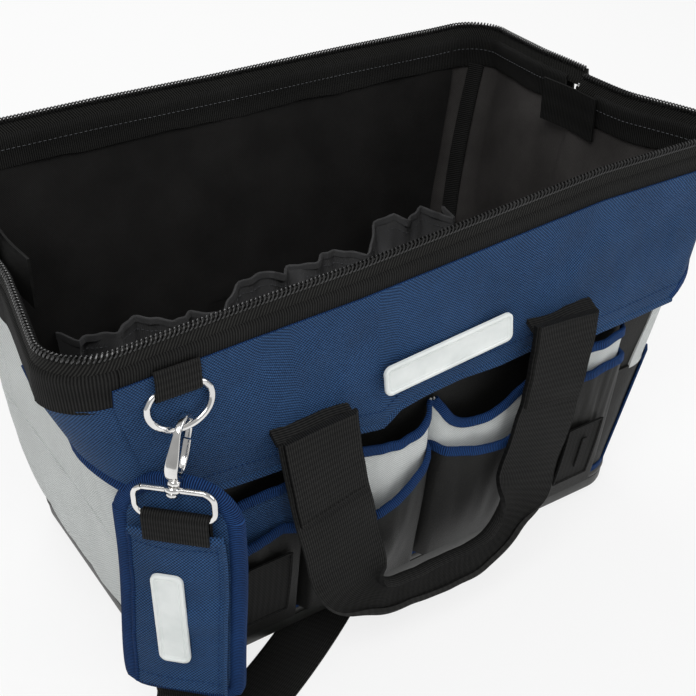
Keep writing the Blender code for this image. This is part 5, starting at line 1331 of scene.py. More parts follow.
@dataclass
class Slider:
    """Zip slider with its pull, parked near the left rivet, and the two rivets.

    Attributes:
        at: The slider's place along Y.
        length: The slider's length.
        pull_x, pull_top: Where the pull's upper end hangs.
    """

    at: float = -0.016
    length: float = 0.013
    pull_x: float = -0.2284
    pull_top: float = 0.2755

    def body(self, finish: Finishes) -> bpy.types.Object:
        """A channel with a rounded nose over the coil and a bail on top.

        Args:
            finish: The bag's materials.

        Returns:
            The finished piece.
        """
        x = -(OUTER_ARM - ARM_TAPER)
        y = np.linspace(self.at - self.length / 2, self.at + self.length / 2, 11)
        narrow = 1 - 0.35 * np.abs(np.linspace(-1, 1, 11)) ** 3
        roof = rounded(0.0036, 0.0032, 0.0010, 3)
        grid = np.stack([np.stack([x + roof[:, 0] * n, np.full(len(roof), b), BAR_Z + 0.0112 + roof[:, 1]], 1)
                         for b, n in zip(y, narrow)])
        work = Patchwork("slider_body", [finish.chrome])
        work.tube(grid)
        a = np.linspace(0, np.pi, 13)
        bail = np.stack([np.full(13, x), self.at + 0.0042 * np.cos(a),
                         BAR_Z + 0.0142 + 0.0026 * np.sin(a)], 1)
        work.tube(swept(bail, RIGHT, wire(0.0008, 8)))
        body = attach(work.build(), "front_frame")
        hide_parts("zip_slider")
        return body

    def pull(self, finish: Finishes) -> bpy.types.Object:
        """A tapered pull hanging outside, with two wire loops.

        Args:
            finish: The bag's materials.

        Returns:
            The finished piece.
        """
        t = np.linspace(0, 1, 24)
        half = 0.0026 + 0.0019 * ease(t / 0.25) - 0.0026 * ease((t - 0.86) / 0.14)
        thick = 0.0007 + 0.0002 * np.cos(2 * np.pi * t)
        rows = []
        for s, w, h in zip(t, half, thick):
            ring = rounded(w, h, h * 0.8, 3)
            rows.append(at_height(ring[:, ::-1] + (self.pull_x, self.at), self.pull_top - 0.026 * s))
        tab = Patchwork("slider_pull", [finish.chrome])
        tab.tube(np.stack(rows))
        for rise in (0.0, 0.0105):
            loop = np.linspace(0, 2 * np.pi, 20, endpoint=False)
            spot = np.stack([np.full(20, self.pull_x - 0.0008), self.at + 0.0020 * np.cos(loop),
                             self.pull_top - 0.008 - rise + 0.0030 * np.sin(loop)], 1)
            tab.tube(swept(spot, RIGHT, wire(0.0004, 6), closed=True), closed=True)
        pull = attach(tab.build(), "pull")
        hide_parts("zip_pull")
        return pull

    def rivets(self, finish: Finishes) -> list[bpy.types.Object]:
        """At each end a turned rivet through the eyes and a flap of band below it.

        Args:
            finish: The bag's materials.

        Returns:
            The finished pieces.
        """
        made = []
        ring = wire(1.0, 24)
        for s, hand in ((-1, "left"), (1, "right")):
            eye = eye_reach(Side.FRONT, s)
            profile = [(-0.0030, 0.0004), (-0.0029, 0.0020), (-0.0023, 0.0032), (-0.0015, 0.0034),
                       (-0.0015, 0.0016), (0.0015, 0.0016), (0.0015, 0.0034), (0.0023, 0.0032),
                       (0.0029, 0.0020), (0.0030, 0.0004)]
            rows = np.stack([np.stack([np.full(24, s * eye + a), ring[:, 0] * r, BAR_Z + ring[:, 1] * r], 1)
                             for a, r in profile])
            y, z = np.meshgrid(np.linspace(-0.027, 0.027, 16), np.linspace(0.2380, 0.2690, 10))
            flap = Patchwork(f"rivet_flap_{hand}", [finish.band])
            flap.sheet(np.stack([s * (0.2045 + 0.0008 * np.cos(y * 90)) + 0 * z, y, z], -1), 0.0016)
            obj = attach(flap.build(), "front_frame")
            made.append(obj)
            head = Patchwork(f"rivet_{hand}", [finish.chrome])
            head.tube(rows)
            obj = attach(head.build(), "front_frame")
            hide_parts(f"frame_rivet_{hand}")
            made.append(obj)
        return made

    def build(self, finish: Finishes) -> list[bpy.types.Object]:
        """Slider, pull and rivets."""
        return [self.body(finish), self.pull(finish), *self.rivets(finish)]


# Pockets

@dataclass
class Pouch:
    """One open-topped pocket: a front sheet that stands off the wall, a bound top edge and pleated sides.

    Attributes:
        name: Piece's name.
        replaced: CAD node it stands for.
        left, right: Ends along the wall.
        top: Points of the top edge as (share of the width, height, distance out from the wall).
        foot: Distance out at the bottom.
        skin, inner_skin: Attributes of Finishes used outside and inside.
        slack: Depth by which the middle sags out.
        folds: Height of soft upright folds near the top.
        bottom: Height of the foot.
        seed: Picks the folds.
        lip: Half height of the binding.
    """

    name: str
    replaced: str
    left: float
    right: float
    top: list
    foot: float
    skin: str
    inner_skin: str
    slack: float = 0.002
    folds: float = 0.001
    bottom: float = POCKET_FOOT
    seed: int = 1
    lip: float = 0.0032

    def front(self, columns: int = 48, rows: int = 26) -> np.ndarray:
        """Grid of the front sheet, sides included, from the bottom up.

        Args:
            columns, rows: Size of the grid.

        Returns:
            Array of rows by columns by three.
        """
        u = np.linspace(0, 1, columns)
        top = curve(self.top, 160)
        z_top = np.interp(u, top[:, 0], top[:, 1])
        reach = np.interp(u, top[:, 0], top[:, 2])
        s = np.linspace(0, 1, rows)[:, None]
        z = self.bottom * (1 - s) + z_top[None] * s
        side_shape = ease(np.minimum(u, 1 - u) / 0.055)[None]
        out = self.foot * (1 - s) + reach[None] * s
        out = out + self.slack * np.sin(np.pi * s) * np.sin(np.pi * u)[None]
        out = out + self.folds * ripple(u[None] * 0.12 + 0 * s, 0.3 * z, 0.05, self.seed) * ease(s / 0.5)
        out = 0.0006 + (out - 0.0006) * side_shape
        x = self.left + (self.right - self.left) * np.broadcast_to(u[None], z.shape)
        y = -(side_y(z) + WALL / 2 + out)
        return np.stack([x, y, z], -1)

    def build(self, finish: Finishes) -> bpy.types.Object:
        """Sheet and ribbed binding along the top.

        Args:
            finish: The bag's materials.

        Returns:
            The finished piece.
        """
        skin, inner = getattr(finish, self.skin), getattr(finish, self.inner_skin)
        work = Patchwork(self.name, [skin, inner, finish.navy, finish.thread])
        grid = self.front()
        work.sheet(grid, 0.0013, front=0, back=1)
        edge = grid[-1]
        out = unit(np.cross(headings(edge), UP))
        section = rounded(0.0015, self.lip, 0.0010, 3)
        work.tube(swept(edge - UP * (self.lip * 0.6), out, section), slot=2, across=0.012)
        obj = work.build()
        if "back" in self.name:
            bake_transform(obj)
        else:
            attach(obj, "bag")
        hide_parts(self.replaced)
        return obj


@dataclass
class Pockets:
    """Two tiers of pockets on the front, two webbing patches and the pleated row inside."""

    def build(self, finish: Finishes) -> list[bpy.types.Object]:
        """All pockets in order from the wall outwards.

        Args:
            finish: The bag's materials.

        Returns:
            The finished pieces.
        """
        rows = [
            Pouch("pocket_a_back", "pocket_back_a", -0.150, -0.097, [(0, .134, .003), (.3, .141, .006),
                  (.7, .143, .008), (1, .134, .004)], 0.005, "blue", "lining", seed=2),
            Pouch("pocket_b_back", "pocket_back_b", -0.095, -0.006, [(0, .163, .003), (.25, .155, .007),
                  (.5, .146, .011), (.75, .144, .012), (.9, .150, .009), (1, .160, .004)], 0.006, "grey",
                  "grey", folds=0.0016, seed=5),
            Pouch("pocket_c_back", "pocket_back_c", -0.004, 0.090, [(0, .160, .003), (.12, .143, .008),
                  (.28, .137, .012), (.5, .143, .013), (.75, .155, .010), (1, .163, .004)], 0.006, "grey",
                  "grey", folds=0.0018, seed=9),
            Pouch("pocket_d_back", "pocket_back_d", 0.092, 0.150, [(0, .158, .003), (.4, .157, .008),
                  (.8, .159, .008), (1, .158, .003)], 0.006, "grey", "grey", seed=12),
            Pouch("pocket_a_front", "pocket_front_a", -0.150, -0.097, [(0, .100, .008), (.35, .109, .0115),
                  (.7, .113, .012), (1, .106, .010)], 0.009, "coated", "lining", seed=14),
            Pouch("pocket_b_front", "pocket_front_b", -0.095, -0.006, [(0, .098, .010), (.25, .097, .016),
                  (.55, .103, .021), (.85, .121, .018), (1, .128, .009)], 0.009, "coated", "blue",
                  slack=0.006, folds=0.0014, seed=16),
            Pouch("pocket_c_front", "pocket_front_c", -0.004, 0.090, [(0, .124, .010), (.2, .120, .017),
                  (.5, .118, .021), (.8, .126, .018), (1, .134, .010)], 0.009, "coated", "blue", slack=0.005,
                  folds=0.0014, seed=18),
            Pouch("pocket_d_front", "pocket_front_d", 0.092, 0.150, [(0, .139, .010), (.4, .138, .013),
                  (.8, .141, .013), (1, .139, .008)], 0.009, "coated", "lining", seed=21),
        ]
        made = [pouch.build(finish) for pouch in rows]
        made += self.patches(finish)
        made.append(self.inside(finish))
        return made

    def patches(self, finish: Finishes) -> list[bpy.types.Object]:
        """Webbing patches sewn on with a raised outline; the right one has a small upright bar.

        Args:
            finish: The bag's materials.

        Returns:
            The finished pieces.
        """
        made = []
        for hand, x, top, bow in (("left", -0.1235, .112, 0.0125), ("right", 0.121, .133, 0.0132)):
            z = np.linspace(0.040, 0.092, 18)[:, None]
            u = np.linspace(-0.0145, 0.0145, 12)[None]
            share = (z - POCKET_FOOT) / (top - POCKET_FOOT)
            bulge = (bow - 0.0090) * share + 0.0022 * np.sin(np.pi * share)
            y = -(side_y(z) + WALL / 2 + 0.0109 + bulge) + 0 * u
            grid = np.stack(np.broadcast_arrays(x + u, y, z), -1)
            work = Patchwork(f"patch_{hand}", [finish.webbing, finish.coated])
            work.sheet(grid, 0.0014, front=0, back=1)
            rim = np.concatenate([grid[0], grid[1:, -1], grid[-1, ::-1][1:], grid[::-1, 0][1:-1]])
            work.tube(swept(rim - BACK * 0.0009, BACK, wire(0.0009, 8), closed=True), slot=0, closed=True)
            if hand == "right":
                bar = grid[4:-4, 6] - BACK * 0.0016
                work.tube(swept(bar, RIGHT, belt(0.004, 0.0012)), slot=0, across=0.01)
            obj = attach(work.build(), "bag")
            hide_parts(f"pocket_patch_{hand}")
            made.append(obj)
        return made

    def inside(self, finish: Finishes) -> bpy.types.Object:
        """Pleated grey row on the rear wall: its top edge waves and its pleats stand in and out.

        Args:
            finish: The bag's materials.

        Returns:
            The finished piece.
        """
        u = np.linspace(0, 1, 150)
        x = -0.150 + 0.338 * u
        top = np.interp(x, [-0.150, -0.10, -0.05, -0.025, -0.008, 0.010, 0.024, 0.060, 0.095, 0.126, 0.140,
                            0.156, 0.172, 0.188],
                        [0.128, 0.130, 0.119, 0.118, 0.131, 0.139, 0.129, 0.134, 0.128, 0.150, 0.141, 0.146,
                         0.138, 0.134])
        s = np.linspace(0, 1, 24)[:, None]
        z = 0.030 * (1 - s) + top[None] * s
        pleat = 0.0060 * np.sin(x * 150)[None] ** 3 + 0.0045 * ripple(x[None] + 0 * s, z * 0.4, 0.055, 44)
        out = 0.006 + 0.013 * s + pleat * ease(s / 0.75)
        out = np.maximum(out, 0.0015) * ease(np.minimum(u, 1 - u) / 0.03)[None] + 0.0012
        y = side_y(z) - WALL / 2 - out
        grid = np.stack(np.broadcast_arrays(x[None], y, z), -1)
        work = Patchwork("inner_pockets", [finish.smoke, finish.lining, finish.thread])
        work.sheet(grid[:, ::-1], 0.0011, front=1, back=0)
        work.tube(swept(grid[-1] - UP * 0.0022, UP, belt(0.0060, 0.0022)), slot=0, across=0.014)
        stitches(work, grid[-2] - np.array([0, 0.0012, 0.006]), -BACK, 2)
        obj = work.build()
        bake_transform(obj)
        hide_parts("inner_pocket_1", "inner_pocket_2")
        return obj


# Label, handles and their anchors

@dataclass
class Plate:
    """Soft moulded label: a bare plate with rounded corners, a raised rim and a sewn line inside it."""

    name: str
    width: float
    height: float
    radius: float = 0.0045
    thick: float = 0.0022

    def mesh(self, centre: np.ndarray, across: np.ndarray, up: np.ndarray,
             finish: Finishes) -> bpy.types.Object:
        """Rings of the rounded outline, drawn in and lifted by a profile, from the back to the field.

        Args:
            centre: Middle of the plate's back.
            across, up: Unit directions of its width and height.
            finish: Materials.

        Returns:
            The plate with its sewn line.
        """
        out = np.cross(across, up)
        profile = ((0.0, 0.0), (0.0, self.thick * 0.75), (0.0005, self.thick), (0.0018, self.thick),
                   (0.0023, self.thick - 0.0007), (0.0030, self.thick - 0.0008))
        rows = []
        for inset, rise in profile:
            ring = rounded(self.width / 2 - inset, self.height / 2 - inset,
                           max(self.radius - inset, 0.001), 6)
            rows.append(centre + ring[:, :1] * across + ring[:, 1:] * up + rise * out)
        work = Patchwork(self.name, [finish.label, finish.thread])
        work.tube(np.stack(rows))
        ring = rounded(self.width / 2 - 0.0034, self.height / 2 - 0.0034, 0.0020, 6)
        line = centre + ring[:, :1] * across + ring[:, 1:] * up + (self.thick - 0.0008) * out
        work.tube(swept(line, out, wire(0.00030, 6), closed=True), closed=True)
        return work.build(sharp=50)


@dataclass
class FrontLabel:
    """Bare label on the front panel, set a little askew as in the photograph."""

    width: float = 0.0910
    height: float = 0.0200

    def build(self, finish: Finishes) -> list[bpy.types.Object]:
        """The label, leaning with the wall.

        Args:
            finish: The bag's materials.

        Returns:
            The finished pieces.
        """
        centre = wall_point(Side.FRONT, np.array(-0.0050), np.array(0.0880), 0.0112)
        tilt = unit(np.array([0, -0.02, 1.0]))
        across = unit(np.array([1.0, 0, 0.085]))
        up = unit(tilt - across * (tilt @ across))
        label = Plate("front_label", self.width, self.height).mesh(centre, across, up, finish)
        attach(label, "front_wall")
        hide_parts("label_patch_front")
        return [label]


@dataclass
class Handle:
    """Carrying handle of flat webbing hanging from two anchors, folded into a grip along its lowest run.

    Attributes:
        side: Side of the bag.
        width: Width of the flat webbing.
        plane: Distance of its strips from the bag's middle.
    """

    side: Side
    width: float = 0.050
    plane: float = 0.1475

    def route(self) -> np.ndarray:
        """Middle line: down the left strip, round the grip and up the right strip.

        Returns:
            Array of points.
        """
        p = self.plane
        pts = [(-0.0975, p, 0.1880), (-0.0955, p + 0.001, 0.168), (-0.0915, p + 0.001, 0.140),
               (-0.0850, p + 0.001, 0.108), (-0.0800, p + 0.001, 0.080), (-0.0745, p + 0.002, 0.060),
               (-0.0570, p + 0.003, 0.0475), (-0.0350, p + 0.003, 0.0440), (-0.0100, p + 0.003, 0.0430),
               (0.0150, p + 0.003, 0.0440), (0.0350, p + 0.002, 0.0530), (0.0500, p + 0.001, 0.0740),
               (0.0600, p + 0.001, 0.1000), (0.0700, p + 0.001, 0.1350), (0.0770, p + 0.001, 0.172),
               (0.0795, p, 0.1975)]
        return curve(np.array(pts), 170)

    def build(self, finish: Finishes) -> list[bpy.types.Object]:
        """Flat strips that curl at their edges and close into the grip, with doubled, sewn ends and anchors.

        Args:
            finish: The bag's materials.

        Returns:
            The finished pieces.
        """
        s = self.side.value
        path = self.route()
        count = len(path)
        t = np.linspace(0, 1, count)
        grip = ease((np.minimum(t, 1 - t) - 0.27) / 0.10)
        run = lengths(path)
        along = headings(path)
        across = unit(np.cross(along, BACK))
        # Section: the flat web's two halves fold forward by an angle that grows to a closed roll at the grip.
        w = np.linspace(-1, 1, 25)
        half = self.width / 2
        turn = grip * 2.35 + 0.10 * np.sin(run * 55) * ease((np.minimum(t, 1 - t) - 0.05) / 0.2)
        angle = turn[:, None] * np.abs(w)[None] ** 1.1
        step = np.abs(w)[None] * half
        a = np.sign(w)[None] * step * np.sinc(angle / np.pi * 0.9)
        b = step * (1 - np.cos(angle)) / np.maximum(angle, 0.08) * (turn[:, None] > 0)
        from_start, from_middle = np.broadcast_arrays(run[:, None], w[None] * half)
        b = b * (0.42 + 0.18 * (1 - grip[:, None])) + 0.0009 * ripple(from_middle, from_start, 0.07, 51)
        a = a * (1 - 0.06 * grip[:, None])
        grid = path[:, None] + across[:, None] * a[..., None] + BACK * b[..., None]
        uv = np.stack([from_start, from_middle], -1)
        lens = 0.0028 + 0.0042 * grip[:, None] * (1 - w[None] ** 2)
        work = Patchwork(f"handle_webbing_{self.side.tag}", [finish.webbing, finish.thread])
        grid = grid * (1, s, 1)
        work.sheet(grid, lens, uv=uv)
        # Doubled webbing at the top of each strip, with a sewn end.
        for lo, hi in ((0, 26), (count - 26, count)):
            lay = grid[lo:hi, 1:-1] + BACK * (s * 0.0024)
            work.sheet(lay, 0.0018, uv=uv[lo:hi, 1:-1])
            edge = lay[-1] if lo == 0 else lay[0]
            stitches(work, edge + np.array([0, s * 0.0010, 0.003]), BACK * s, 0, 0.003)
        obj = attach(work.build(sharp=55), f"{self.side.tag}_handle")
        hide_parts(f"handle_{self.side.tag}")
        made = [obj]
        for hand, x, top in (("left", -0.098, 0.1885), ("right", 0.080, 0.1980)):
            a = np.linspace(-half, half, 17)
            y = np.linspace(0.1290, self.plane - 0.0006, 9)[:, None]
            z = top + 0.0016 * np.sin(np.linspace(0, np.pi, 9)) - 0.004 * ease(np.linspace(-0.4, 1, 9))
            z = z[:, None] + 0.0006 * np.sin(a * 160)[None]
            sheet = np.stack(np.broadcast_arrays(x + a[None], s * y, z), -1)
            fold = Patchwork(f"handle_fold_{self.side.tag}_{hand}", [finish.webbing])
            fold.sheet(sheet, 0.0028)
            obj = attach(fold.build(), f"{self.side.tag}_wall")
            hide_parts(f"handle_anchor_{self.side.tag}_{hand}")
            made.append(obj)
        return made


# Ring, snap hook and swivel loop

@dataclass
class Fittings:
    """D-ring in its tab, snap hook with a spring gate, and the swivel loop with its folded webbing.

    Attributes:
        side: Side of the bag; everything is worked out at the front and turned half round for the rear.
        ring_x, ring_y, bar_z: Middle of the ring's straight bar.
        tilt: How far the ring hangs out of the upright.
        yaw: Turn of the loop, and of the pad below it, from the long wall.
        bend: Radius of webbing's middle line where it is folded round a bar.
        hook_half: Half width of the hook's own curve.
    """

    side: Side
    ring_x: float = -0.1755
    ring_y: float = -0.1432
    bar_z: float = 0.2405
    tilt: float = math.radians(10)
    yaw: float = math.radians(45)
    bend: float = 0.0029
    hook_half: float = 0.0094

    def __post_init__(self) -> None:
        """Works out the yawed axes and the leaning shank between the ring and the loop's bar."""
        self.w = np.array([math.cos(self.yaw), -math.sin(self.yaw), 0])
        self.n = np.array([-math.sin(self.yaw), -math.cos(self.yaw), 0])
        self.crown = self.ring(0.0, 0.0215)
        self.bar = self.w * -0.0233 + self.n * 0.2435 + UP * 0.191
        self.axis = unit(self.crown - self.bar)
        self.shank = float(np.linalg.norm(self.crown - self.bar))
        self.hw = unit(self.w - self.axis * (self.w @ self.axis))
        other = np.cross(self.hw, self.axis)
        self.hn = other * (1 if other @ self.n > 0 else -1)
        self.foot = -self.shank + 0.0016 + 0.0006
        self.seat = self.foot + 0.0025

    def flip(self, points: np.ndarray) -> np.ndarray:
        """Points as they are at the front, or turned half round about the upright axis at the rear."""
        return points if self.side is Side.FRONT else points * np.array([-1, -1, 1])

    def ring(self, x: np.ndarray | float, drop: np.ndarray | float) -> np.ndarray:
        """Point in the ring's leaning plane.

        Args:
            x: Distance along the bar.
            drop: Distance down from the bar.

        Returns:
            Array of the arguments' shape by three.
        """
        x, drop = np.broadcast_arrays(x, drop)
        return np.stack([self.ring_x + x, self.ring_y - drop * math.sin(self.tilt),
                         self.bar_z - drop * math.cos(self.tilt)], -1)

    def hook_point(self, w: np.ndarray, n: np.ndarray, u: np.ndarray) -> np.ndarray:
        """Point from the hook's crown along its own three axes."""
        return self.crown + w[..., None] * self.hw + n[..., None] * self.hn + u[..., None] * self.axis

    def lathe(self, profile: list, sides: int = 24) -> np.ndarray:
        """Grid turned about the shank from (radius, height) pairs.

        Args:
            profile: Pairs of radius and height.
            sides: Points round the shank.

        Returns:
            Array of stations by sides by three.
        """
        turn = np.linspace(0, 2 * np.pi, sides, endpoint=False)
        r, u = np.array(profile).T
        return self.hook_point(r[:, None] * np.cos(turn), r[:, None] * np.sin(turn), u[:, None] + 0 * turn)

    def stock(self, line: np.ndarray, wide: np.ndarray | float, thick: np.ndarray | float) -> np.ndarray:
        """Grid of flat stock bent in the hook's own plane.

        Args:
            line: Middle line as distances out from and up the shank.
            wide, thick: Half width and half thickness, one for all or one per point of the line.

        Returns:
            Array of stations by section points by three.
        """
        way = headings(line)
        section = rounded(1.0, 1.0, 0.55, 4)
        side, face = section[None, :, 0] * wide, section[None, :, 1]
        return self.hook_point(side + 0 * line[:, :1], line[:, :1] + way[:, 1:] * face * thick,
                               line[:, 1:] - way[:, :1] * face * thick)

    def tab(self, finish: Finishes) -> bpy.types.Object:
        """Webbing folded round the ring's straight bar and sewn under the rim.

        Args:
            finish: The bag's materials.

        Returns:
            The finished piece.
        """
        tag, bend = self.side.tag, self.bend
        fold = [(-0.0021, 0.2560), (-bend, 0.2500)]
        fold += [(-bend * math.cos(k), self.bar_z - bend * math.sin(k))
                 for k in np.radians(np.linspace(0, 90, 6))]
        fold += [(bend * math.sin(k), self.bar_z - bend * math.cos(k))
                 for k in np.radians(np.linspace(15, 90, 6))]
        fold += [(bend, 0.2470)]
        path = curve(np.array([(self.ring_x, self.ring_y + y, z) for y, z in fold]), 40)
        work = Patchwork(f"ring_tab_{tag}", [finish.webbing])
        work.tube(self.flip(swept(path, RIGHT, belt(0.0255, 0.0014))), across=0.053)
        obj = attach(work.build(), f"{tag}_wall")
        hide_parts(f"dring_tab_{tag}")
        return obj

    def dring(self, finish: Finishes) -> bpy.types.Object:
        """Ring of wire: a bar and a bow whose drop is a sine of its turn.

        Args:
            finish: The bag's materials.

        Returns:
            The finished piece.
        """
        tag = self.side.tag
        angle = np.radians(np.linspace(22, -202, 40))
        x = 0.0175 * np.cos(angle) * 1.02
        drop = 0.0215 * (0.36 - 0.64 * np.sin(angle) * np.where(np.sin(angle) < 0, 1, 0.9))
        bow = self.ring(x, drop)
        bar = self.ring(np.array([-0.0131, -0.0044, 0.0044, 0.0131]), 0.0)
        path = curve(np.concatenate([bar, bow[1:-1]]), 110, closed=True)
        work = Patchwork(f"ring_wire_{tag}", [finish.chrome])
        normal = np.array([0, -math.cos(self.tilt), math.sin(self.tilt)])
        work.tube(self.flip(swept(path, normal, wire(0.0019, 14), closed=True)), closed=True)
        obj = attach(work.build(), f"{tag}_ring")
        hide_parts(f"dring_{tag}")
        return obj

    def hook(self, finish: Finishes) -> bpy.types.Object:
        """Flat stock over the ring, down its front and in to the collar of the swivel pin, with the pin.

        Args:
            finish: The bag's materials.

        Returns:
            The finished piece.
        """
        tag, r, foot, seat = self.side.tag, self.hook_half, self.foot, self.seat
        arc = np.radians(np.linspace(180, 0, 9))
        line = [(-r, -0.0064)] + [(r * math.cos(k), -0.0034 + r * math.sin(k)) for k in arc]
        line += [(r, -0.0084), (r * 0.97, seat + 0.0105), (r * 0.86, seat + 0.0058), (r * 0.5, seat + 0.0023),
                 (0.0, seat + 0.0010), (-r * 0.42, seat + 0.0010)]
        t = np.linspace(0, 1, 90)[:, None]
        wide = 0.0033 * (0.55 + 0.50 * ease((t - 0.42) / 0.35))
        thick = 0.0014 * (1 - 0.15 * ease((t - 0.9) / 0.1))
        work = Patchwork(f"snap_hook_{tag}", [finish.chrome])
        work.tube(self.flip(self.stock(curve(line, 90), wide, thick)))
        pin = foot - 0.0032 - 0.0012
        profile = [(0.0022, seat + 0.0010), (0.0032, seat + 0.0004), (0.0036, seat - 0.0006),
                   (0.0036, foot + 0.0003), (0.0033, foot), (0.0018, foot), (0.0018, pin), (0.0030, pin),
                   (0.0031, pin - 0.0008), (0.0025, pin - 0.0016), (0.0010, pin - 0.0021)]
        work.tube(self.flip(self.lathe(profile)))
        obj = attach(work.build(sharp=60), f"{tag}_hook")
        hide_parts(f"hook_{tag}")
        return obj

    def gate(self, finish: Finishes) -> bpy.types.Object:
        """Thin sprung strip closing the hook's back.

        Args:
            finish: The bag's materials.

        Returns:
            The finished piece.
        """
        tag, r, low = self.side.tag, self.hook_half, self.seat + 0.0034
        line = [(-r, -0.0073), (-r * 1.02, (low - 0.0073) / 2), (-r * 0.75, low + 0.002), (-r * 0.45, low)]
        work = Patchwork(f"spring_gate_{tag}", [finish.chrome])
        work.tube(self.flip(self.stock(curve(line, 30), 0.0021, 0.0008)))
        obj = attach(work.build(), f"{tag}_gate")
        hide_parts(f"hook_gate_{tag}")
        return obj

    def loop(self, finish: Finishes) -> bpy.types.Object:
        """Swivel loop: a flat oval of wire with a pierced boss on the pin.

        Args:
            finish: The bag's materials.

        Returns:
            The finished piece.
        """
        tag = self.side.tag
        soft = curve(rounded(0.0215, 0.00925, 0.0068, 8), 110, closed=True)
        soft[:, 1] -= 0.00925
        path = self.bar + soft[:, :1] * self.w + soft[:, 1:] * UP
        work = Patchwork(f"swivel_wire_{tag}", [finish.chrome])
        work.tube(self.flip(swept(path, self.n, wire(0.0017, 14), closed=True)), closed=True)
        boss = [(0.0022, -0.0016), (0.0040, -0.0015), (0.0045, -0.0008), (0.0045, 0.0008), (0.0040, 0.0015),
                (0.0022, 0.0016)]
        work.tube(self.flip(self.lathe([(r, u - self.shank) for r, u in boss])), closed=True)
        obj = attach(work.build(sharp=60), f"{tag}_loop")
        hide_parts(f"swivel_loop_{tag}")
        return obj

    def webbing(self, finish: Finishes) -> bpy.types.Object:
        """Webbing folded round the loop's lower bar.

        Args:
            finish: The bag's materials.

        Returns:
            The finished piece.
        """
        tag, bend = self.side.tag, self.bend
        base = self.bar - UP * 0.0185
        line = [(0.0030, -0.0140), (0.0030, -0.0070)]
        line += [(bend * math.cos(k), bend * math.sin(k)) for k in np.radians(np.linspace(0, 180, 10))]
        line += [(-0.0030, -0.0070), (-0.0028, -0.0140)]
        path = np.array([base + self.n * a + UP * b for a, b in line])
        work = Patchwork(f"loop_webbing_{tag}", [finish.webbing])
        work.tube(self.flip(swept(curve(path, 50), self.w, belt(0.0365, 0.0018))), across=0.076)
        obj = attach(work.build(), f"{tag}_loop")
        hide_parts("pad_webbing" if self.side is Side.FRONT else "strap_end_rear")
        return obj

    def build(self, finish: Finishes) -> list[bpy.types.Object]:
        """Every fitting of this side, each on its own body."""
        return [piece(finish) for piece in (self.tab, self.dring, self.hook, self.gate, self.loop,
                                            self.webbing)]


# Shoulder pad and strap

DIAGONAL = math.sqrt(0.5)
PAD_ACROSS = np.array([DIAGONAL, -DIAGONAL, 0])
PAD_OUT = np.array([-DIAGONAL, -DIAGONAL, 0])


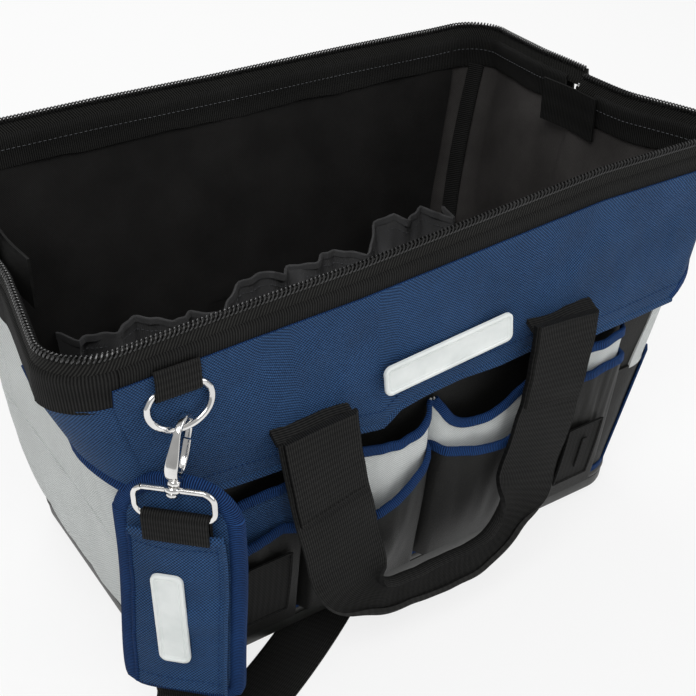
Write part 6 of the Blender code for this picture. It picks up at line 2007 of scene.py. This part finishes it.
@dataclass
class ShoulderPad:
    """Padded sleeve on the strap: a stuffed body, a ribbed binding all round and a sleeve with a label.

    Attributes:
        across, out: Where its middle stands along PAD_ACROSS and PAD_OUT.
        top, bottom: Heights of its ends.
        half: Half width.
        thick: Thickness before it swells.
    """

    across: float = -0.0250
    out: float = 0.2356
    top: float = 0.1935
    bottom: float = 0.0365
    half: float = 0.0350
    thick: float = 0.0085

    def place(self, a: np.ndarray, n: np.ndarray | float, z: np.ndarray) -> np.ndarray:
        """Points from distances across and out of the pad's middle plane and a height.

        The pad leans a little to the left towards its foot.

        Args:
            a, n: Distances across and out.
            z: Height.

        Returns:
            Array of the arguments' shape by three.
        """
        drift = -0.0060 * ease((0.150 - z) / 0.110)
        a, n, z = np.broadcast_arrays(a + drift, n, z)
        flat = PAD_ACROSS * (self.across + a[..., None]) + PAD_OUT * (self.out + n[..., None])
        return flat + z[..., None] * UP

    def outline(self, inset: float, count: int) -> np.ndarray:
        """Closed outline (across, height): straight sides, a low arch on top and rounded lower corners.

        Args:
            inset: How far it is drawn in.
            count: Number of points.

        Returns:
            Array of count points of two coordinates.
        """
        h = self.half - inset
        arch = np.radians(np.linspace(0, 180, 17))
        crest = self.top - inset
        rise = 0.026
        pts = np.stack([h * np.sign(np.cos(arch)) * np.abs(np.cos(arch)) ** 0.85,
                        crest - rise + rise * np.sin(arch)], 1)
        low = self.bottom + inset
        pts = np.concatenate([pts, [(-h, 0.10), (-h, low + 0.010), (-h + 0.003, low + 0.003),
                                    (-h + 0.010, low), (0, low), (h - 0.010, low), (h - 0.003, low + 0.003),
                                    (h, low + 0.010), (h, 0.10)]])
        return curve(pts, count, closed=True)

    def body(self, finish: Finishes) -> bpy.types.Object:
        """The stuffed body: rings of the outline drawn in towards its middle, then swollen as cloth.

        Args:
            finish: The bag's materials.

        Returns:
            The finished piece.
        """
        rows = []
        outline = self.outline(0.0025, 96)
        mid = np.array([0.0, (self.top + self.bottom) / 2])
        for share, depth in ((0.03, -0.46), (0.35, -0.5), (0.8, -0.48), (0.96, -0.33), (1.0, 0.0),
                             (0.96, 0.33), (0.8, 0.48), (0.35, 0.5), (0.03, 0.46)):
            ring = mid + (outline - mid) * share
            rows.append(self.place(ring[:, 0], depth * self.thick * 0.9, ring[:, 1]))
        work = Patchwork("shoulder_pad_body", [finish.blue])
        work.tube(np.stack(rows))
        pad = work.build()
        self.swell(pad)
        return pad

    @staticmethod
    def bake(pad: bpy.types.Object) -> bpy.types.Mesh:
        """Turns the object's modifiers into its own mesh and returns that mesh.

        Args:
            pad: Object with modifiers.

        Returns:
            The new mesh.
        """
        fresh = bpy.data.meshes.new_from_object(pad.evaluated_get(bpy.context.evaluated_depsgraph_get()))
        pad.modifiers.clear()
        pad.data = fresh
        return fresh

    @staticmethod
    def spots(mesh: bpy.types.Mesh) -> np.ndarray:
        """A mesh's points, one row each.

        Args:
            mesh: Mesh to read.

        Returns:
            Array of points by three.
        """
        flat = np.empty(len(mesh.vertices) * 3)
        mesh.vertices.foreach_get("co", flat)
        return flat.reshape(-1, 3)

    def swell(self, pad: bpy.types.Object) -> None:
        """Runs the pad as a pressurised cloth for twenty frames and caps how far each point moves.

        Args:
            pad: The pad's object, whose mesh is replaced.
        """
        scene = bpy.context.scene
        bpy.context.view_layer.objects.active = pad
        remesh = pad.modifiers.new("even", "REMESH")
        remesh.mode = "VOXEL"
        remesh.voxel_size = 0.0026
        self.bake(pad)
        before = self.spots(pad.data)
        z = before[:, 2]
        a = (before - (PAD_ACROSS * self.across + PAD_OUT * self.out)) @ PAD_ACROSS
        reach = np.minimum(self.half - np.abs(a), np.minimum(z - self.bottom, self.top - z))
        group = pad.vertex_groups.new(name="seam")
        seam = np.flatnonzero(reach < 0.006)
        group.add(seam.tolist(), 1.0, "REPLACE")
        cloth = pad.modifiers.new("cloth", "CLOTH")
        for key, value in {"quality": 5, "mass": 0.15, "tension_stiffness": 12, "compression_stiffness": 12,
                           "bending_stiffness": 1.2, "use_pressure": True, "uniform_pressure_force": 3.5,
                           "vertex_group_mass": "seam"}.items():
            setattr(cloth.settings, key, value)
        cloth.settings.effector_weights.gravity = 0
        cloth.collision_settings.use_collision = False
        cloth.point_cache.frame_start, cloth.point_cache.frame_end = 1, 20
        for step in range(1, 21):
            scene.frame_set(step)
        after = self.spots(pad.evaluated_get(bpy.context.evaluated_depsgraph_get()).data)
        pad.modifiers.clear()
        pad.vertex_groups.clear()
        move = after - before
        far = np.linalg.norm(move, axis=1, keepdims=True)
        move = np.where(np.isfinite(move), move, 0) * np.minimum(1, 0.0028 / np.maximum(far, 1e-9))
        pad.data.vertices.foreach_set("co", (before + move).reshape(-1))
        pad.data.update()
        pad.data.shade_smooth()
        soft = pad.modifiers.new("soft", "SUBSURF")
        soft.levels = soft.render_levels = 1
        scene.frame_set(1)
        fine = self.bake(pad)
        layer = fine.uv_layers.new(name="cloth") if not fine.uv_layers else fine.uv_layers[0]
        layer.name = "cloth"
        spots = self.spots(fine)
        flat = np.stack([spots @ PAD_ACROSS, spots[:, 2]], 1)
        index = np.empty(len(fine.loops), dtype=np.int32)
        fine.loops.foreach_get("vertex_index", index)
        layer.data.foreach_set("uv", flat[index].reshape(-1).astype(np.float32))

    def build(self, finish: Finishes) -> list[bpy.types.Object]:
        """Body, binding, sleeve and label.

        Args:
            finish: The bag's materials.

        Returns:
            The finished pieces.
        """
        low, high = (self.place(np.array(0.0), 0.0, np.array(z)) for z in (0.060, 0.170))
        pad = self.body(finish)
        trim = Patchwork("pad_binding", [finish.navy])
        line = self.outline(0.0040, 170)
        path = self.place(line[:, 0], 0.0, line[:, 1])
        k = np.linspace(0, 2 * np.pi, 22, endpoint=False)
        section = np.stack([0.0050 * np.sign(np.cos(k)) * np.abs(np.cos(k)) ** 0.8,
                            0.0037 * np.sign(np.sin(k)) * np.abs(np.sin(k)) ** 0.7], 1)
        inward = unit(np.cross(headings(path, closed=True), PAD_OUT))
        trim.tube(swept(path, inward, section, closed=True), closed=True, across=0.03)
        binding = trim.build()
        sleeve = Patchwork("pad_sleeve", [finish.blue, finish.navy, finish.thread])
        u, z = np.meshgrid(np.linspace(-0.0262, 0.0262, 30), np.linspace(0.0455, 0.1600, 44))
        crown = 0.0058 + 0.0022 * np.cos(np.pi * u / 0.06) + 0.0010 * ripple(u, z, 0.05, 77)
        crown = crown + 0.0012 * np.exp(-((z - 0.160) / 0.006) ** 2)
        grid = self.place(u, crown, z)
        sleeve.sheet(grid, 0.0014)
        for edge, slot in ((grid[:, 0], 1), (grid[:, -1], 0)):
            sleeve.tube(swept(edge + PAD_OUT * 0.0006, PAD_OUT, wire(0.0012, 8)), slot=slot, across=0.006)
        sleeve.tube(swept(grid[-1], UP, belt(0.0058, 0.0024)), slot=0, across=0.012)
        for row in (grid[3], grid[-4], grid[:, -3]):
            stitches(sleeve, row + PAD_OUT * 0.0009, PAD_OUT, 1, 0.003, 0.0003)
        cover = sleeve.build()
        middle = self.place(np.array(-0.0038), 0.0094, np.array(0.1015))
        label = Plate("pad_label", 0.0182, 0.0640).mesh(middle, PAD_ACROSS, UP, finish)
        # Webbing that comes out of the sleeve's top and lies on the body up to the loop.
        u, z = np.meshgrid(np.linspace(-0.0180, 0.0180, 20), np.linspace(0.150, 0.1655, 10))
        tongue = Patchwork("sleeve_webbing", [finish.webbing])
        rise = 0.0064 + 0.0024 * ease((z - 0.150) / 0.015)
        uv = np.stack([z, u], -1)
        tongue.sheet(self.place(u + 0.0012, rise, z), 0.0018, uv=uv)
        tail = tongue.build()
        made = [pad, binding, cover, label, tail]
        for obj in made:
            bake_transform(obj)
        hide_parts("shoulder_pad")
        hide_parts("label_patch_pad")
        return made


@dataclass
class Strap:
    """Free part of the shoulder strap: slack below the pad, the run under the tray and the rear rise."""

    width: float = 0.0385
    thick: float = 0.0018
    floor: float = 0.0014

    def __post_init__(self) -> None:
        """Works out where the run under the tray ends behind the bag and which way it goes there."""
        self.end_way = np.array([math.cos(math.radians(53)), math.sin(math.radians(53)), 0])
        self.end = -(PAD_ACROSS * -0.0245 + PAD_OUT * 0.2356) - self.end_way * 0.020
        self.lie = UP * self.floor

    def floor_route(self) -> np.ndarray:
        """Middle line from the pad's foot down to the ground, forwards, back and under the tray.

        Returns:
            Array of points.
        """
        n, lie = PAD_OUT, self.lie
        centre = PAD_ACROSS * -0.0305 + n * 0.2356
        heading = np.array([math.cos(math.radians(26)), math.sin(math.radians(26)), 0])
        back = np.array([-0.1465, -0.1470, 0])
        turn = back - heading * 0.098
        pts = [centre + n * a + UP * z for a, z in ((0, 0.060), (0, 0.036), (0, 0.0277), (0.012, 0.021),
                                                    (0.036, 0.0165))]
        pts += [turn + n * 0.004 + UP * 0.012, turn + n * 0.0065 + UP * 0.006, turn + heading * 0.010 + lie,
                turn + heading * 0.035 + lie, back - heading * 0.020 + lie, back + lie]
        t = np.linspace(0, 1, 14)[1:, None]
        pull = np.linalg.norm(self.end - back)
        run = back * (2 * t ** 3 - 3 * t ** 2 + 1) + heading * pull * (t ** 3 - 2 * t ** 2 + t) \
            + self.end * (-2 * t ** 3 + 3 * t ** 2) + self.end_way * pull * (t ** 3 - t ** 2) + lie
        path = curve(np.concatenate([np.array(pts), run]), 300)
        path[:, 2] = np.maximum(path[:, 2], self.floor)
        return path

    def floor_run(self, finish: Finishes) -> bpy.types.Object:
        """Flat webbing carried along the same route as the solid one, with a slight twist.

        Args:
            finish: The bag's materials.

        Returns:
            The finished piece.
        """
        w, path = PAD_ACROSS, self.floor_route()
        along = headings(path)
        flat = unit(np.stack([along[:, 1], -along[:, 0], np.zeros(len(path))], 1) + 1e-9)
        run_on = lengths(path)
        # The webbing keeps its face where it doubles back, so its cross direction never jumps.
        flat[1:] *= np.cumprod(np.where((flat[1:] * flat[:-1]).sum(1) < 0, -1, 1))[:, None]
        flat *= np.sign(flat[np.argmax(run_on > 0.115)] @ w)
        blend = ease((run_on - 0.065) / 0.050)[:, None]
        across = unit(w * (1 - blend) + flat * blend)
        work = Patchwork("strap_on_floor", [finish.webbing])
        work.tube(swept(path, across, belt(self.width, self.thick)), across=0.080)
        floor_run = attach(work.build(), "bag")
        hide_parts("strap_floor_run")
        return floor_run

    def rise_route(self) -> tuple[np.ndarray, np.ndarray]:
        """Middle line and width directions of the rise from the ground to the rear loop.

        Returns:
            Points, and one unit vector per point.
        """
        w, n = PAD_ACROSS, PAD_OUT
        column = -(w * -0.0233 + n * 0.2435)
        pts = [self.end - self.end_way * 0.004 + self.lie, self.end + self.end_way * 0.020 + self.lie]
        pts += [column - n * a + UP * z for a, z in ((0.030, 0.009), (0.040, 0.030), (0.030, 0.070),
                                                     (0.012, 0.115), (0.0015, 0.162))]
        path = curve(np.array(pts), 130)
        path[:, 2] = np.maximum(path[:, 2], self.floor)
        first = np.array([self.end_way[1], -self.end_way[0], 0])
        sense = 1 if first @ -w > 0 else -1
        t = ease(np.linspace(0, 1, 130))[:, None]
        return path, unit(first * (1 - t) - w * sense * t)

    def adjuster(self, path: np.ndarray, across: np.ndarray, finish: Finishes) -> bpy.types.Object:
        """Sliding adjuster on the rise: a rounded frame with a middle bar.

        Args:
            path, across: Middle line and width directions of the rise.
            finish: The bag's materials.

        Returns:
            The finished piece.
        """
        k = int(np.argmin(np.abs(path[:, 2] - 0.096)))
        along = headings(path)[k]
        wide = square_to(across[k:k + 1], along[None])[0]
        face = np.cross(wide, along)
        face = face if face @ np.array([1, 1, 0]) > 0 else -face
        middle = path[k] + face * 0.0030
        slider = Patchwork("strap_slider", [finish.tray])
        ring = curve(rounded(0.0215, 0.0120, 0.003, 4), 60, closed=True)
        loop = middle + ring[:, :1] * wide + ring[:, 1:] * along
        slider.tube(swept(loop, face, rounded(0.0014, 0.0019, 0.0008, 3), closed=True), closed=True)
        bar = middle + np.linspace(-0.0205, 0.0205, 9)[:, None] * wide
        slider.tube(swept(bar, face, rounded(0.0013, 0.0016, 0.0008, 3)))
        return slider.build()

    def build(self, finish: Finishes) -> list[bpy.types.Object]:
        """Run on the floor, rise at the rear and adjuster.

        Args:
            finish: The bag's materials.

        Returns:
            The finished pieces.
        """
        floor_run = self.floor_run(finish)
        path, across = self.rise_route()
        rise = Patchwork("strap_rising", [finish.webbing, finish.tray, finish.thread])
        rise.tube(swept(path, across, belt(self.width, self.thick)), across=0.080)
        strap, buckle = rise.build(), self.adjuster(path, across, finish)
        for obj in (strap, buckle):
            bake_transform(obj)
        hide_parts("strap_rise_rear")
        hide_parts("strap_adjuster")
        return [floor_run, strap, buckle]


# Studio

@dataclass
class Studio:
    """Plain pale floor, three soft lamps and the camera at the photograph's angle."""

    focal: float = 64.24
    place: tuple = (-0.37794, -0.61291, 0.58873)
    elevation: float = math.radians(32.803)
    azimuth: float = math.radians(32.816)
    roll: float = math.radians(-0.4546)

    def camera(self) -> None:
        """Camera matrix from its azimuth, elevation and roll."""
        a, e, r = self.azimuth, self.elevation, self.roll
        ahead = np.array([math.sin(a) * math.cos(e), math.cos(a) * math.cos(e), -math.sin(e)])
        right = np.array([math.cos(a), -math.sin(a), 0.0])
        up = np.cross(right, ahead)
        r2 = right * math.cos(r) + up * math.sin(r)
        u2 = -right * math.sin(r) + up * math.cos(r)
        data = bpy.data.cameras.new("studio_camera")
        data.lens, data.sensor_width, data.clip_start = self.focal, 36.0, 0.01
        camera = bpy.data.objects.new("studio_camera", data)
        bpy.context.scene.collection.objects.link(camera)
        rows = np.eye(4)
        rows[:3, 0], rows[:3, 1], rows[:3, 2], rows[:3, 3] = r2, u2, -ahead, self.place
        camera.matrix_world = Matrix(rows.tolist())
        bpy.context.scene.camera = camera

    def floor(self) -> None:
        """Pale floor that the lens, mirrors and glass see as plain white while it keeps a soft shadow."""
        material, tree, shader = blank("pale_studio_floor")
        plug(tree, shader, {"Base Color": linear("#f4f4f4"), "Roughness": 0.9})
        n = 32
        points = at_height(wire(6, n), -0.0002)
        mesh = bpy.data.meshes.new("studio_floor")
        mesh.from_pydata(points.tolist(), [], [list(range(n))])
        mesh.materials.append(material)
        floor = bpy.data.objects.new("studio_floor", mesh)
        bpy.context.scene.collection.objects.link(floor)
        glow = node(tree, "Emission", {"Color": (1, 1, 1, 1), "Strength": 1.0})
        rays = node(tree, "LightPath").outputs
        mirrored = node(tree, "Math", {0: rays["Is Glossy Ray"], 1: rays["Is Transmission Ray"]},
                        operation="MAXIMUM")
        share = node(tree, "Math", {0: rays["Is Camera Ray"], 1: 0.80}, operation="MULTIPLY")
        total = node(tree, "Math", {0: share.outputs[0], 1: mirrored.outputs[0]}, operation="MAXIMUM")
        mix = node(tree, "MixShader", {0: total.outputs[0], 1: shader.outputs[0], 2: glow.outputs[0]})
        plug(tree, tree.nodes["Material Output"], {"Surface": mix.outputs[0]})

    def lights(self) -> None:
        """Even pale world and three large soft lamps: above left, front right and behind."""
        scene = bpy.context.scene
        world = bpy.data.worlds.new("studio_world")
        scene.world = world
        world.use_nodes = True
        tree = world.node_tree
        tree.nodes.clear()
        rays = node(tree, "LightPath")
        soft = node(tree, "Background", {"Color": (1, 1, 1, 1), "Strength": 0.42})
        white = node(tree, "Background", {"Color": (1, 1, 1, 1), "Strength": 1.0})
        seen = node(tree, "Math", {0: rays.outputs["Is Camera Ray"], 1: rays.outputs["Is Transmission Ray"]},
                    operation="MAXIMUM")
        mix = node(tree, "MixShader", {0: seen.outputs[0], 1: soft.outputs[0], 2: white.outputs[0]})
        node(tree, "OutputWorld", {0: mix.outputs[0]})
        for name, place, size, power in (("key_lamp", (-0.9, -0.9, 1.7), 1.1, 16.0),
                                         ("fill_lamp", (1.3, -1.2, 1.1), 1.2, 9.0),
                                         ("back_lamp", (0.2, 1.5, 1.5), 1.2, 11.0)):
            data = bpy.data.lights.new(name, "AREA")
            data.shape, data.size, data.energy = "DISK", size, power
            lamp = bpy.data.objects.new(name, data)
            bpy.context.scene.collection.objects.link(lamp)
            lamp.location = place
            lamp.rotation_euler = (Vector((0, 0, 0.12)) - Vector(place)).to_track_quat("-Z", "Y").to_euler()

    def build(self) -> None:
        """Camera, floor, lamps and the plain view transform."""
        bpy.context.scene.view_settings.view_transform = "Standard"
        self.camera()
        self.floor()
        self.lights()


def main() -> None:
    """Builds every sub-assembly in order and reports its pieces."""
    logging.basicConfig(level=logging.INFO, format="%(name)s: %(message)s")
    finish = Finishes()
    assemblies = [Tray(), LowerBody()]
    assemblies += [UpperWall(side) for side in Side]
    assemblies += [EndGusset(sign) for sign in (-1, 1)]
    assemblies += [Mouth(side) for side in Side]
    assemblies += [Slider(), Pockets()]
    assemblies += [Handle(side) for side in Side]
    assemblies += [Fittings(side) for side in Side]
    assemblies += [ShoulderPad(), Strap(), FrontLabel()]
    for assembly in assemblies:
        for obj in assembly.build(finish):
            LOG.info("%s: %s, %d faces", type(assembly).__name__, obj.name, len(obj.data.polygons))
    Studio().build()


if __name__ == "__main__":
    main()
